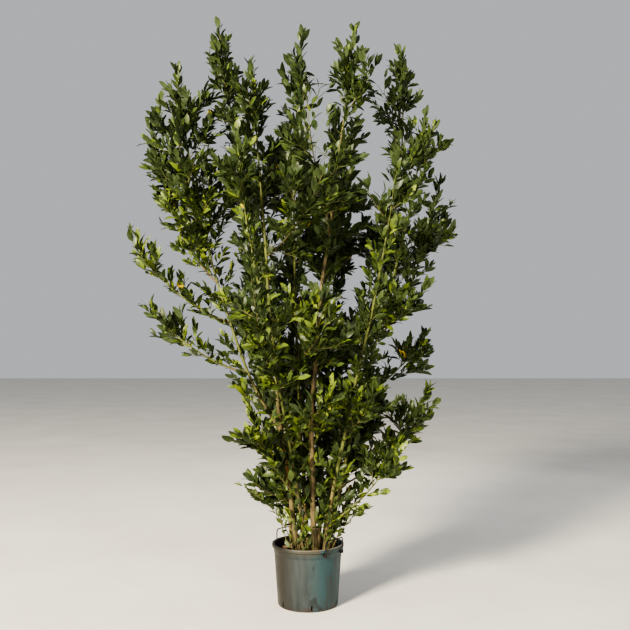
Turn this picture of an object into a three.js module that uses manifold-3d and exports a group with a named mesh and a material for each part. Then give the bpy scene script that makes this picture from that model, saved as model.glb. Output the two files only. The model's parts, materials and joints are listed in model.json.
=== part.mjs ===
// A tall bay laurel grown as a bush of many canes, in a round nursery pot with two wire handles.
// Units are millimetres and +Z is up. The origin is the middle of the pot's flat underside, and -Y is
// the front.

import * as THREE from 'three';
import { mergeVertices } from 'three/addons/utils/BufferGeometryUtils.js';
import Module from 'manifold-3d';

const wasm = await Module();
wasm.setup();

// The gap between neighbours that touch on the real plant.
const GAP = 0.3;
// Joined twigs and leaves are cleaned of slivers down to this size.
const SLIVER = 0.1;

// The pot is a thin moulded shell that tapers to its foot, with a rolled rim over a shallow collar.
const POT = {
  height: 298,
  rimRadius: 177,
  neckRadius: 167,
  footRadius: 147,
  wall: 3.2,
  floor: 4,
  beadHeight: 18,
  collarHeight: 46,
  collarStep: 1.8,
  footRound: 9,
  rimRound: 5,
  sides: 32,
};

// Drain slots stand round the foot, the first one just right of the front.
const DRAIN = { count: 6, width: 8, depth: 26, low: 10, high: 34, firstAngle: -82.5 };

// Each handle is a bent rod on two pads under the rim. Angles run from +X towards +Y.
const HANDLE = {
  rod: 3,
  above: 42,
  padWidth: 16,
  padHeight: 15,
  padTop: 277,
  bend: 16,
  barSteps: 6,
  steps: 16,
  sides: 6,
};
const HANDLES = { handle_front_right: [-62, -22], handle_back_left: [110, 150] };

// The filled compost stands this high above the pot's underside.
const SOIL_LEVEL = 258;

// The canes rise from one clump. Each has its foot on the compost, the sideways places of its two
// handles at 35 % and 70 % of its height, the tip of its leading shoot, and its half thickness.
const CANES = {
  cane_left: { foot: [-45, -18], low: [-190, -60], high: [-205, -100], tip: [-285, -150, 2660], thick: 13 },
  cane_middle: { foot: [0, 12], low: [-60, 20], high: [-110, 10], tip: [-25, 40, 2890], thick: 10 },
  cane_stout: { foot: [42, -50], low: [-50, -150], high: [160, -210], tip: [227, -150, 2830], thick: 15 },
  cane_right: { foot: [75, 22], low: [150, 60], high: [620, 120], tip: [461, 150, 2840], thick: 11 },
  cane_far_right: { foot: [106, -22], low: [200, -40], high: [540, -60], tip: [580, -70, 2440], thick: 10 },
  cane_back_spire: { foot: [-25, 56], low: [-60, 120], high: [-400, 150], tip: [-468, 100, 2970], thick: 10 },
  cane_back: { foot: [52, 72], low: [90, 190], high: [190, 470], tip: [150, 500, 2620], thick: 11 },
  cane_front_left: { foot: [-10, -76], low: [-80, -160], high: [-290, -400], tip: [-320, -450, 2260], thick: 9 },
  cane_front_right: { foot: [80, -68], low: [150, -170], high: [380, -370], tip: [400, -430, 2150], thick: 10 },
  cane_back_left: { foot: [-76, 36], low: [-130, 140], high: [-400, 400], tip: [-400, 430, 2400], thick: 10 },
};

// The boughs fork from a cane, or from an earlier bough, at a share of its length. One that runs on as a
// branch of its own is solid for longer, and one that stands out alone says how far its foliage reaches.
const BOUGHS = {
  bough_left: { from: 'cane_left', at: 0.235, tip: [-649, -80, 2670], thick: 9, solid: 0.78 },
  bough_left_top: { from: 'bough_left', at: 0.52, tip: [-805, 60, 2430], thick: 5.5 },
  bough_left_arm: { from: 'bough_left', at: 0.42, tip: [-895, -60, 1850], thick: 6, reach: 150 },
  bough_left_low: { from: 'bough_left', at: 0.27, tip: [-770, -120, 1475], thick: 6, reach: 150 },
  bough_right_top: { from: 'cane_far_right', at: 0.46, tip: [664, 40, 2130], thick: 5.5 },
  bough_right_arm: { from: 'cane_stout', at: 0.36, tip: [575, -190, 1560], thick: 6 },
  bough_right_mid: { from: 'cane_right', at: 0.27, tip: [590, 60, 1345], thick: 5.5 },
  bough_right_low: { from: 'cane_far_right', at: 0.14, tip: [595, -60, 1085], thick: 5 },
  bough_right_foot: { from: 'cane_front_right', at: 0.08, tip: [449, -130, 846], thick: 5 },
};

// A limb ends, and its leading shoot begins, at this share of the way to the tip.
const CANE_SOLID = 0.8;
const BOUGH_SOLID = 0.5;
// A bough's two handles lie at these shares of its way out and of its rise.
const BOUGH_BEND = { nearOut: 0.35, nearRise: 0.1, farOut: 0.87, farRise: 0.57 };
const TIP_RADIUS = 2;
const LIMB = { sides: 6, stepLength: 215, flare: 0.28 };
const PATH_STEPS = 14;

// Shoots leave the limbs at these shares of their length, each towards the emptiest side.
const SHOOTS = {
  cane_left: [0.1, 0.34, 0.58],
  cane_middle: [0.2, 0.52],
  cane_stout: [0.22, 0.6],
  cane_right: [0.5],
  cane_back_spire: [0.13, 0.36, 0.6],
  cane_back: [0.1, 0.3, 0.54],
  cane_front_left: [0.14, 0.38],
  cane_front_right: [0.3],
  bough_left: [0.6],
};

// The crown's outline by height: how far it reaches to the left, to the right, and to front and back.
const OUTLINE = [
  { z: 330, left: 190, right: 190, deep: 190 },
  { z: 600, left: 190, right: 200, deep: 250 },
  { z: 830, left: 230, right: 340, deep: 350 },
  { z: 1080, left: 400, right: 570, deep: 470 },
  { z: 1340, left: 530, right: 590, deep: 540 },
  { z: 1700, left: 690, right: 640, deep: 600 },
  { z: 2100, left: 780, right: 690, deep: 640 },
  { z: 2420, left: 850, right: 620, deep: 610 },
  { z: 2700, left: 690, right: 480, deep: 500 },
  { z: 2930, left: 480, right: 290, deep: 330 },
];

// A side shoot is tried at several turns and rises, starts out flatter than it ends, and is as long as
// the outline allows. The best one is long, and far from all other stems up to farEnough.
const SHOOT = {
  rises: [0.6, 1, 1.7],
  shortest: 260,
  longest: 680,
  turns: 24,
  shorter: 10,
  flatter: 0.35,
  bend: 0.6,
  samples: 8,
  lengthWorth: 0.4,
  farEnough: 400,
  clear: 26,
  tooNear: 1000,
  thick: 5.2,
};

// The leaves stand for sprays of the real ones, so they are larger than life. A side leaf takes the
// first size and the first side of its twig that have room for it.
const LEAF = {
  length: 182,
  width: 78,
  thick: 4.4,
  droop: 10,
  widest: 0.42,
  sunk: 2.5,
  lift: 0.12,
  sizes: [1, 0.75],
  asides: [0, 2.1, -2.1],
};
// A twig takes the first part of its full length that has room for it, to one side or the other. A
// full length grows with its stem's, between two sizes.
const TWIG = {
  step: 66,
  leafStep: 38,
  thick: 4.2,
  tipThick: 3,
  footLength: 7,
  withFullLeaf: 250,
  shortest: 240,
  longest: 380,
  base: 170,
  perStem: 0.32,
  parts: [1, 0.86, 0.72, 0.6],
  asides: [0, 1.1, -1.1],
};
// A leading shoot bears twigs only up to this share of its wood, less on a slim one, and its leaves get
// shorter towards its tip by this much.
const LEADER = { twigsTo: 0.55, slimTwigsTo: 0.2, leafFall: 0.45 };
const SLIM = ['cane_middle', 'cane_back_spire', 'bough_left_low'];

// Twigs and leaves keep this far off a limb, and this much nearer to their own stem than to another.
const LIMB_CLEARANCE = 9;
const CELL_MARGIN = 9;
// Two blades of one mass keep their points this far apart, so that they don't cross.
const CROSSING = 14;
// A mass may pass the crown's outline out to this far from its own stem.
const REACH = { bough: 130, cane: 140, shoot: 110 };
const GOLDEN_TURN = Math.PI * (3 - Math.sqrt(5));
const LIGHT = { outside: 0.4, front: 0.12 };
const UP = new THREE.Vector3(0, 0, 1);
const FRONT = new THREE.Vector3(0, -1, 0);

const plant = new THREE.Group();

function standardMaterial(color, roughness) {
  return new THREE.MeshStandardMaterial({ color, roughness, metalness: 0 });
}

const potMaterial = standardMaterial(0x59625c, 0.72);
const handleMaterial = standardMaterial(0x1e201f, 0.55);
const compostMaterial = standardMaterial(0x38271c, 0.95);
const barkMaterial = standardMaterial(0x6f5a34, 0.8);
const leafMaterial = standardMaterial(0x3f6422, 0.5);

function addPart(name, geometry, material) {
  const mesh = new THREE.Mesh(geometry, material.clone());
  mesh.name = name;
  plant.add(mesh);
}

// Solids

// A geometry as a solid. Its shared vertices are merged, and faces that this collapses at a pointed end
// are left out.
function toSolid(geometry) {
  const bare = geometry.clone();
  bare.deleteAttribute('normal');
  bare.deleteAttribute('uv');
  const merged = mergeVertices(bare, 1e-4);
  const triVerts = [];
  for (let i = 0; i < merged.index.count; i += 3) {
    const [a, b, c] = [0, 1, 2].map((k) => merged.index.getX(i + k));
    if (a !== b && b !== c && c !== a) triVerts.push(a, b, c);
  }
  const vertProperties = new Float32Array(merged.attributes.position.array);
  const mesh = new wasm.Mesh({ numProp: 3, vertProperties, triVerts: new Uint32Array(triVerts) });
  return new wasm.Manifold(mesh);
}

// The largest body alone, so that no loose scrap or sealed hollow is left.
function toGeometry(solid) {
  const bodies = solid.decompose();
  bodies.sort((a, b) => b.volume() - a.volume());
  const mesh = bodies[0].getMesh();
  const geometry = new THREE.BufferGeometry();
  geometry.setAttribute('position', new THREE.BufferAttribute(mesh.vertProperties, 3));
  geometry.setIndex(new THREE.BufferAttribute(mesh.triVerts, 1));
  geometry.computeVertexNormals();
  return geometry;
}

// Axes for a direction: across it, and out of the face that turns to a second direction.
function axesFor(along, towards) {
  const across = along.clone().cross(towards).normalize();
  return { along, across, face: across.clone().cross(along) };
}

// A closed body through rings, made from a cylinder by moving each row of its vertices onto a ring.
function ringBody(rings, sides) {
  const rows = rings.length - 1;
  const geometry = new THREE.CylinderGeometry(1, 1, 1, sides, rows);
  const position = geometry.attributes.position;
  for (let i = 0; i < position.count; i++) {
    const ring = rings[Math.round((position.getY(i) + 0.5) * rows)];
    const point = ring.centre.clone();
    point.addScaledVector(ring.across, position.getX(i) * ring.wide);
    point.addScaledVector(ring.face, position.getZ(i) * ring.deep);
    position.setXYZ(i, point.x, point.y, point.z);
  }
  return geometry;
}

// Rings at shares of a curve, whose axes turn with it as little as they can.
function ringsAlong(curve, shares, sizeAt, firstFace, levelFoot = false) {
  let towards = firstFace;
  return shares.map((share, i) => {
    const along = levelFoot && i === 0 ? UP.clone() : curve.getTangent(share);
    const axes = axesFor(along, towards);
    towards = axes.face;
    const size = sizeAt(share);
    return { centre: curve.getPoint(share), across: axes.across, face: axes.face, wide: size, deep: size };
  });
}

function evenShares(from, to, steps) {
  return Array.from({ length: steps + 1 }, (_, i) => THREE.MathUtils.lerp(from, to, i / steps));
}

// Pot and compost

// The outside radius of the body, which tapers evenly from under the rim to the foot.
function bodyRadius(z) {
  return THREE.MathUtils.lerp(POT.footRadius, POT.neckRadius, z / (POT.height - POT.beadHeight));
}

function latheUpright(points) {
  const profile = points.map(([radius, z]) => new THREE.Vector2(radius, z));
  return new THREE.LatheGeometry(profile, POT.sides).rotateX(Math.PI / 2);
}

function onCircle(radius, angle, z) {
  return new THREE.Vector3(radius * Math.cos(angle), radius * Math.sin(angle), z);
}

function makePot() {
  const { footRound, rimRound } = POT;
  const beadFoot = POT.height - POT.beadHeight;
  const collarFoot = POT.height - POT.collarHeight;
  const shell = latheUpright([
    [0, 0],
    [POT.footRadius - footRound, 0],
    [bodyRadius(footRound) - footRound * 0.3, footRound * 0.3],
    [bodyRadius(footRound), footRound],
    [bodyRadius(collarFoot), collarFoot],
    [bodyRadius(collarFoot) + POT.collarStep, collarFoot + POT.collarStep],
    [POT.neckRadius + POT.collarStep, beadFoot],
    [POT.rimRadius - rimRound * 0.3, beadFoot + rimRound * 0.3],
    [POT.rimRadius, beadFoot + rimRound],
    [POT.rimRadius, POT.height - rimRound],
    [POT.rimRadius - rimRound, POT.height],
    [POT.neckRadius, POT.height],
    [POT.neckRadius - POT.wall, POT.height - rimRound],
    [POT.neckRadius - POT.wall, beadFoot],
    [bodyRadius(POT.floor) - POT.wall, POT.floor],
    [0, POT.floor],
  ]);
  let pot = toSolid(shell);
  for (let i = 0; i < DRAIN.count; i++) {
    const angle = THREE.MathUtils.degToRad(DRAIN.firstAngle + (i * 360) / DRAIN.count);
    const slot = new THREE.BoxGeometry(DRAIN.depth, DRAIN.width, DRAIN.high - DRAIN.low);
    slot.translate(bodyRadius(DRAIN.low), 0, (DRAIN.high + DRAIN.low) / 2);
    slot.rotateZ(angle);
    pot = pot.subtract(toSolid(slot));
  }
  addPart('pot', toGeometry(pot), potMaterial);
}

function makeCompost() {
  const inside = (z) => bodyRadius(z) - POT.wall - GAP / Math.cos(Math.PI / POT.sides);
  const foot = POT.floor + GAP;
  const profile = [
    [0, foot],
    [inside(foot), foot],
    [inside(SOIL_LEVEL), SOIL_LEVEL],
    [0, SOIL_LEVEL],
  ];
  addPart('compost', latheUpright(profile), compostMaterial);
}

function makeHandle(name, [firstAngle, lastAngle]) {
  const reach = POT.rimRadius + GAP + HANDLE.rod + 1;
  const first = THREE.MathUtils.degToRad(firstAngle);
  const last = THREE.MathUtils.degToRad(lastAngle);
  const bend = HANDLE.bend / reach;
  const top = POT.height + HANDLE.above;
  const low = HANDLE.padTop - HANDLE.padHeight / 2;
  const legHeights = [low, POT.height, top - HANDLE.bend];
  const route = legHeights.map((z) => onCircle(reach, first, z));
  for (const angle of evenShares(first + bend, last - bend, HANDLE.barSteps)) {
    route.push(onCircle(reach, angle, top));
  }
  route.push(...legHeights.reverse().map((z) => onCircle(reach, last, z)));
  const bar = new THREE.CatmullRomCurve3(route, false, 'centripetal');
  const rings = ringsAlong(bar, evenShares(0, 1, HANDLE.steps), () => HANDLE.rod, onCircle(1, first, 0));
  let handle = toSolid(ringBody(rings, HANDLE.sides));
  const wall = POT.neckRadius + POT.collarStep + GAP;
  const pad = new THREE.BoxGeometry(reach + HANDLE.rod - wall, HANDLE.padWidth, HANDLE.padHeight);
  pad.translate((reach + HANDLE.rod + wall) / 2, 0, low);
  for (const angle of [first, last]) {
    handle = handle.add(toSolid(pad.clone().rotateZ(angle)));
  }
  addPart(name, toGeometry(handle), handleMaterial);
}

// Limbs

// Each limb is a curve whose half thickness falls evenly from its foot to the tip of its shoot.
function makeLimb(name, parent, points, thick, solid, reach) {
  const curve = new THREE.CubicBezierCurve3(...points);
  const radiusAt = (share) => THREE.MathUtils.lerp(thick, TIP_RADIUS, share);
  const limb = { name, parent, curve, radiusAt, solid, reach, length: curve.getLength() };
  limb.steps = Math.max(4, Math.round((limb.length * solid) / LIMB.stepLength));
  limb.path = evenShares(0, solid, PATH_STEPS).map((share) => curve.getPoint(share));
  limb.pathRadius = evenShares(0, solid, PATH_STEPS).map(radiusAt);
  return limb;
}

function caneLimb(name, { foot, low, high, tip, thick }) {
  const start = new THREE.Vector3(foot[0], foot[1], SOIL_LEVEL + GAP);
  const end = new THREE.Vector3(...tip);
  const rise = end.z - start.z;
  const points = [
    start,
    new THREE.Vector3(low[0], low[1], start.z + 0.35 * rise),
    new THREE.Vector3(high[0], high[1], start.z + 0.7 * rise),
    end,
  ];
  return makeLimb(name, null, points, thick, CANE_SOLID, REACH.cane);
}

// A bough leaves its parent low, and turns up towards its tip.
function boughLimb(name, { from, at, tip, thick, solid = BOUGH_SOLID, reach = REACH.bough }, limbs) {
  const parent = limbs.find((limb) => limb.name === from);
  const start = parent.curve.getPoint(at);
  const way = new THREE.Vector3(...tip).sub(start);
  const along = (out, rise) => new THREE.Vector3(way.x * out, way.y * out, way.z * rise).add(start);
  const { nearOut, nearRise, farOut, farRise } = BOUGH_BEND;
  const points = [start, along(nearOut, nearRise), along(farOut, farRise), along(1, 1)];
  return makeLimb(name, parent, points, thick, solid, reach);
}

// The limb's body, with a level foot and a root flare on a cane. It can be grown evenly by a little.
function limbSolid(limb, grown = 0) {
  const outset = grown / Math.cos(Math.PI / LIMB.sides);
  const flare = (share) => (limb.parent ? 1 : 1 + LIMB.flare * Math.exp(-share * 45));
  const sizeAt = (share) => limb.radiusAt(share) * flare(share) + outset;
  const shares = evenShares(0, limb.solid, limb.steps);
  return toSolid(ringBody(ringsAlong(limb.curve, shares, sizeAt, FRONT, !limb.parent), LIMB.sides));
}

// Space

function distanceToSegment(point, start, end) {
  const way = end.clone().sub(start);
  const share = THREE.MathUtils.clamp(point.clone().sub(start).dot(way) / way.lengthSq(), 0, 1);
  return start.clone().addScaledVector(way, share).distanceTo(point);
}

function distanceToPath(point, path) {
  let nearest = Infinity;
  for (let i = 1; i < path.length; i++) {
    nearest = Math.min(nearest, distanceToSegment(point, path[i - 1], path[i]));
  }
  return nearest;
}

function gapToLimb(point, limb) {
  let nearest = Infinity;
  for (let i = 1; i < limb.path.length; i++) {
    const distance = distanceToSegment(point, limb.path[i - 1], limb.path[i]);
    nearest = Math.min(nearest, distance - limb.pathRadius[i - 1]);
  }
  return nearest;
}

function outlineAt(z) {
  const last = OUTLINE.length - 1;
  if (z <= OUTLINE[0].z) return OUTLINE[0];
  if (z >= OUTLINE[last].z) return OUTLINE[last];
  const above = OUTLINE.findIndex((row) => row.z > z);
  const share = (z - OUTLINE[above - 1].z) / (OUTLINE[above].z - OUTLINE[above - 1].z);
  const mix = (key) => THREE.MathUtils.lerp(OUTLINE[above - 1][key], OUTLINE[above][key], share);
  return { left: mix('left'), right: mix('right'), deep: mix('deep') };
}

function insideOutline(point) {
  const { left, right, deep } = outlineAt(point.z);
  return (point.x / (point.x < 0 ? left : right)) ** 2 + (point.y / deep) ** 2 <= 1;
}

// Whether a point keeps to the mass's own space: off the limbs, nearest to its own stem, in the outline.
function hasRoom(point, mass, limbs, masses) {
  if (limbs.some((limb) => gapToLimb(point, limb) < LIMB_CLEARANCE)) return false;
  const own = distanceToPath(point, mass.path);
  if (own > mass.reach && !insideOutline(point)) return false;
  return masses.every((other) => other === mass || distanceToPath(point, other.path) > own + CELL_MARGIN);
}

// Masses

// A cane or bough goes on as the stem of the mass at its end.
function leadingMass(limb) {
  const { name, curve, solid, reach } = limb;
  return { name: `foliage_${name}`, limb, curve, from: solid, leading: true, reach };
}

// A shoot from a limb, turned to the side where its outer part lies furthest from all other stems.
function sideMass(name, limb, at, limbs, masses) {
  const start = limb.curve.getPoint(at);
  let best = { score: -Infinity };
  for (let k = 0; k < SHOOT.turns * SHOOT.rises.length; k++) {
    const rise = SHOOT.rises[k % SHOOT.rises.length];
    const out = onCircle(1, (k / SHOOT.turns / SHOOT.rises.length) * 2 * Math.PI, rise).normalize();
    const level = new THREE.Vector3(out.x, out.y, out.z * SHOOT.flatter);
    let length = SHOOT.longest;
    while (length > SHOOT.shortest && !insideOutline(start.clone().addScaledVector(out, length))) {
      length -= SHOOT.shorter;
    }
    const bend = start.clone().addScaledVector(level, length * SHOOT.bend);
    const curve = new THREE.QuadraticBezierCurve3(start, bend, start.clone().addScaledVector(out, length));
    let score = length * SHOOT.lengthWorth;
    for (const share of evenShares(0.2, 1, SHOOT.samples)) {
      const point = curve.getPoint(share);
      let nearest = SHOOT.farEnough;
      for (const other of masses) nearest = Math.min(nearest, distanceToPath(point, other.path));
      for (const other of limbs) {
        if (other !== limb) nearest = Math.min(nearest, gapToLimb(point, other));
      }
      score += nearest * share;
      if (nearest < SHOOT.clear) score -= SHOOT.tooNear;
    }
    if (score > best.score) best = { score, curve };
  }
  return { name, limb, curve: best.curve, from: 0, leading: false, reach: REACH.shoot };
}

function measureMass(mass) {
  mass.path = evenShares(mass.from, 1, 8).map((share) => mass.curve.getPoint(share));
  mass.length = mass.path.slice(1).reduce((sum, point, i) => sum + point.distanceTo(mass.path[i]), 0);
}

function listMasses(limbs) {
  const masses = limbs.map(leadingMass);
  masses.forEach(measureMass);
  for (const [limbName, shares] of Object.entries(SHOOTS)) {
    const limb = limbs.find((other) => other.name === limbName);
    shares.forEach((at, i) => {
      const mass = sideMass(`foliage_${limbName}_${i + 1}`, limb, at, limbs, masses);
      measureMass(mass);
      masses.push(mass);
    });
  }
  return masses;
}

// Seeded growth

// A linear congruential generator, which gives the same draws in any language.
function seededRandom(seed) {
  let state = seed * 7919 + 12345;
  const draw = () => {
    state = (state * 1664525 + 1013904223) % 4294967296;
    return state / 4294967296;
  };
  draw();
  return draw;
}

// The direction that leaves a stem at an angle, on the side that a turn about the upright names.
function branchDirection(stem, turn, angle) {
  const side = onCircle(1, turn, 0.15);
  side.addScaledVector(stem, -side.dot(stem)).normalize();
  return stem.clone().multiplyScalar(Math.cos(angle)).addScaledVector(side, Math.sin(angle)).normalize();
}

// A blade's upper face turns to the light, which comes from above, the outside and a little the front.
function bladeAxes(along) {
  const light = new THREE.Vector3(along.x * LIGHT.outside, along.y * LIGHT.outside - LIGHT.front, 1);
  return axesFor(along, light);
}

// Points over a blade that stand for the whole of it.
function bladePoints({ root, axes, length }) {
  const points = [];
  for (const share of [0.2, 0.31, LEAF.widest, 0.56, 0.7, 0.85, 1]) {
    const half = (LEAF.width / 2) * Math.min(share / LEAF.widest, (1 - share) / (1 - LEAF.widest));
    for (const side of half > 10 ? [-1, -0.5, 0, 0.5, 1] : [0]) {
      const point = root.clone().addScaledVector(axes.along, share * length);
      points.push(point.addScaledVector(axes.across, side * half));
    }
  }
  return points;
}

// Whether a blade, past its root, would cross what its mass already has.
function crosses(points, taken) {
  return points.some((point) => taken.some((other) => other.distanceTo(point) < CROSSING));
}

// A side leaf, on the first of three sides that has room for it, and smaller where it has to be.
function addLeaf(mass, place, stem, turn, angle, length, fits) {
  for (const size of LEAF.sizes) {
    for (const aside of LEAF.asides) {
      const along = branchDirection(stem, turn + aside, angle).addScaledVector(UP, LEAF.lift).normalize();
      const leaf = { root: place, axes: bladeAxes(along), length: length * size, size };
      const points = bladePoints(leaf);
      if (points.every(fits) && !crosses(points, mass.taken)) {
        mass.leaves.push(leaf);
        mass.taken.push(...points);
        return;
      }
    }
  }
}

// Side leaves between two shares of a stem, each a golden turn on from the last, which get shorter by the
// fall towards its tip.
function addLeaves(mass, curve, from, to, length, fall, turn, random, fits) {
  const count = Math.max(1, Math.round(length / TWIG.leafStep));
  for (let k = 0; k < count; k++) {
    const share = THREE.MathUtils.lerp(from, to, (k + 0.5) / count);
    const size = LEAF.length * (0.85 + 0.25 * random()) * (1 - (fall * (k + 0.5)) / count);
    const angle = 0.75 + 0.35 * random();
    const side = turn + k * GOLDEN_TURN;
    addLeaf(mass, curve.getPoint(share), curve.getTangent(share), side, angle, size, fits);
  }
}

// The share of a stem where its wood ends and its last leaf begins.
function woodEnd(from, length, leafLength) {
  return 1 - ((1 - from) * leafLength) / length;
}

// A twig that ends in a leaf, if the whole of it has room.
function tryTwig(start, heading, length, fits, taken) {
  const bend = start.clone().addScaledVector(heading, length * 0.55);
  const tip = start.clone().addScaledVector(heading, length * 0.92).addScaledVector(UP, length * 0.2);
  const curve = new THREE.QuadraticBezierCurve3(start, bend, tip);
  const size = Math.min(1, length / TWIG.withFullLeaf);
  const end = woodEnd(0, length, LEAF.length * size);
  const axes = bladeAxes(curve.getTangent(1));
  const last = { root: curve.getPoint(end), axes, length: LEAF.length * size };
  const wood = evenShares(0.3, 1, 4).map((share) => curve.getPoint(share * end));
  const points = [...wood, ...bladePoints(last)];
  if (!points.every(fits) || crosses(points, taken)) return null;
  taken.push(...points);
  return { curve, length, end, size };
}

function growTwig(stem, share, turn, angle, full, fits, taken) {
  const start = stem.getPoint(share);
  for (const part of TWIG.parts) {
    for (const aside of TWIG.asides) {
      const heading = branchDirection(stem.getTangent(share), turn + aside, angle);
      const twig = tryTwig(start, heading, full * part, fits, taken);
      if (twig) return twig;
    }
  }
  return null;
}

// The share of a mass's wood that bears twigs.
function twigTop({ leading, limb }) {
  if (!leading) return 1;
  return SLIM.includes(limb.name) ? LEADER.slimTwigsTo : LEADER.twigsTo;
}

function growMass(mass, seed, limbs, masses) {
  const random = seededRandom(seed);
  const fits = (point) => hasRoom(point, mass, limbs, masses);
  mass.twigs = [];
  mass.leaves = [];
  mass.taken = [];
  mass.end = woodEnd(mass.from, mass.length, LEAF.length);
  const woodLength = mass.length - LEAF.length;
  const top = twigTop(mass);
  const fall = mass.leading ? LEADER.leafFall : 0;
  const count = Math.max(2, Math.round((woodLength * top) / TWIG.step));
  const reach = TWIG.base + TWIG.perStem * mass.length;
  const spread = THREE.MathUtils.clamp(reach, TWIG.shortest, TWIG.longest);
  const firstTurn = random() * 2 * Math.PI;
  for (let k = 0; k < count; k++) {
    const along = (k + 0.25 + 0.4 * random()) / count;
    const share = THREE.MathUtils.lerp(mass.from, mass.end, along * top);
    const turn = firstTurn + k * GOLDEN_TURN + 0.4 * random();
    const angle = 0.8 + 0.3 * random();
    const full = spread * (1 - 0.4 * along) * (0.85 + 0.3 * random());
    const twig = growTwig(mass.curve, share, turn, angle, full, fits, mass.taken);
    if (twig) mass.twigs.push({ ...twig, turn });
  }
  for (const twig of mass.twigs) {
    const wood = twig.length - LEAF.length * twig.size;
    addLeaves(mass, twig.curve, 0.3 * twig.end, twig.end, wood, 0, twig.turn + 1, random, fits);
  }
  const lower = THREE.MathUtils.lerp(mass.from, mass.end, 0.4);
  addLeaves(mass, mass.curve, lower, mass.end, woodLength * 0.6, fall, firstTurn + 2, random, fits);
}

// Rings across a blade's widest place and at its tip. A three-sided ring gives its two edges and its ridge.
function bladeRings(root, axes, length, width) {
  const middle = root.clone().addScaledVector(axes.along, length * LEAF.widest);
  const tip = root.clone().addScaledVector(axes.along, length).addScaledVector(axes.face, -LEAF.droop);
  const wide = width / 2 / Math.sin((2 * Math.PI) / 3);
  return [
    { ...axes, centre: middle, wide, deep: LEAF.thick },
    { ...axes, centre: tip, wide: 0, deep: 0 },
  ];
}

function leafSolid({ root, axes, length, size }) {
  const start = root.clone().addScaledVector(axes.along, -LEAF.sunk);
  const foot = { ...axes, centre: start, wide: 0, deep: 0 };
  return toSolid(ringBody([foot, ...bladeRings(root, axes, length, LEAF.width * size)], 3));
}

// A three-sided stem that thins along its wood and ends in its last leaf. A twig's foot comes to a point
// inside the stem that bears it.
function stemSolid({ curve, from, end, steps, thick, size, pointedFoot }) {
  const sizeAt = (share) => THREE.MathUtils.lerp(thick, TWIG.tipThick, (share - from) / (end - from));
  const { face } = bladeAxes(curve.getTangent(from));
  const rings = ringsAlong(curve, evenShares(from, end, steps), sizeAt, face);
  if (pointedFoot) {
    const along = curve.getTangent(from);
    const point = rings[0].centre.clone().addScaledVector(along, -LEAF.sunk);
    rings[0].centre.addScaledVector(along, TWIG.footLength);
    rings.unshift({ ...rings[0], centre: point, wide: 0, deep: 0 });
  }
  const axes = bladeAxes(curve.getTangent(1));
  const blade = bladeRings(curve.getPoint(end), axes, LEAF.length * size, LEAF.width * size);
  return toSolid(ringBody([...rings, ...blade], 3));
}

function makeMass(mass) {
  const thick = mass.leading ? mass.limb.radiusAt(mass.from) * 1.15 : SHOOT.thick;
  const from = mass.leading ? mass.from + GAP / mass.limb.length : 0;
  let solid = stemSolid({ ...mass, from, steps: 3, thick, size: 1 });
  for (const twig of mass.twigs) {
    solid = solid.add(stemSolid({ ...twig, from: 0, steps: 1, thick: TWIG.thick, pointedFoot: true }));
  }
  for (const leaf of mass.leaves) solid = solid.add(leafSolid(leaf));
  if (!mass.leading) solid = solid.subtract(limbSolid(mass.limb, GAP));
  addPart(mass.name, toGeometry(solid.asOriginal().simplify(SLIVER)), leafMaterial);
}

makePot();
makeCompost();
for (const [name, span] of Object.entries(HANDLES)) makeHandle(name, span);

const limbs = Object.entries(CANES).map(([name, cane]) => caneLimb(name, cane));
for (const [name, bough] of Object.entries(BOUGHS)) limbs.push(boughLimb(name, bough, limbs));
for (const limb of limbs) {
  let solid = limbSolid(limb);
  if (limb.parent) solid = solid.subtract(limbSolid(limb.parent, GAP));
  addPart(limb.name, toGeometry(solid), barkMaterial);
}

const masses = listMasses(limbs);
masses.forEach((mass, i) => growMass(mass, i + 1, limbs, masses));
masses.forEach(makeMass);

export default plant;
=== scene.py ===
"""A tall bay laurel grown as a bush of many canes, in a round nursery pot with two wire handles.

The plant grows here by the same seeded rule as in the frame's own source. Each large leaf of that rule
becomes a sprig of real leaves, the twigs run on to their tips, and the canes and boughs get their bark.
The rule works in millimetres, and a finished mesh is in metres.
"""

import json
import math

import bmesh
import bpy
import numpy as np
from mathutils import Matrix, Vector, noise

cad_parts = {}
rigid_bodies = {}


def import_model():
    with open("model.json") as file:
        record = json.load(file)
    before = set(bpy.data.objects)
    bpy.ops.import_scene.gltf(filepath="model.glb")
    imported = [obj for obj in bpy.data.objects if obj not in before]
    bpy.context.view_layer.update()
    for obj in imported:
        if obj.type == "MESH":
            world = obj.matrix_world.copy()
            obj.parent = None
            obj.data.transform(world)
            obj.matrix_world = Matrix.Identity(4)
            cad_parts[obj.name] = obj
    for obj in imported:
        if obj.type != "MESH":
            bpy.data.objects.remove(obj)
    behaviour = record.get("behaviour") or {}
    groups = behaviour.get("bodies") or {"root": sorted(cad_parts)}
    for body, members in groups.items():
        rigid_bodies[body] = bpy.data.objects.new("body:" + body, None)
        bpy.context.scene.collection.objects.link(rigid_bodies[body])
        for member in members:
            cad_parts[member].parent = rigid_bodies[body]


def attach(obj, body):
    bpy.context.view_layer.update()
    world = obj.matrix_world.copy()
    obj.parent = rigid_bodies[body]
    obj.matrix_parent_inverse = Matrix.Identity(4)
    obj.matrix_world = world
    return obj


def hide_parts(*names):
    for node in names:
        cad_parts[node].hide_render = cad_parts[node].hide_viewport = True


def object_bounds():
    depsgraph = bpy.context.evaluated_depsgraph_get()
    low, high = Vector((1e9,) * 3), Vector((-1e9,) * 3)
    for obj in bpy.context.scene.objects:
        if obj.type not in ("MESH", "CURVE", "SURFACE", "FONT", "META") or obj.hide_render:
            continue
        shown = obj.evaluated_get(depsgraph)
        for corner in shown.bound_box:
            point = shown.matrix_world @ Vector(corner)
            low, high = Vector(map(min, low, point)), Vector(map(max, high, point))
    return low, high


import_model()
cad_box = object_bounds()

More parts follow.
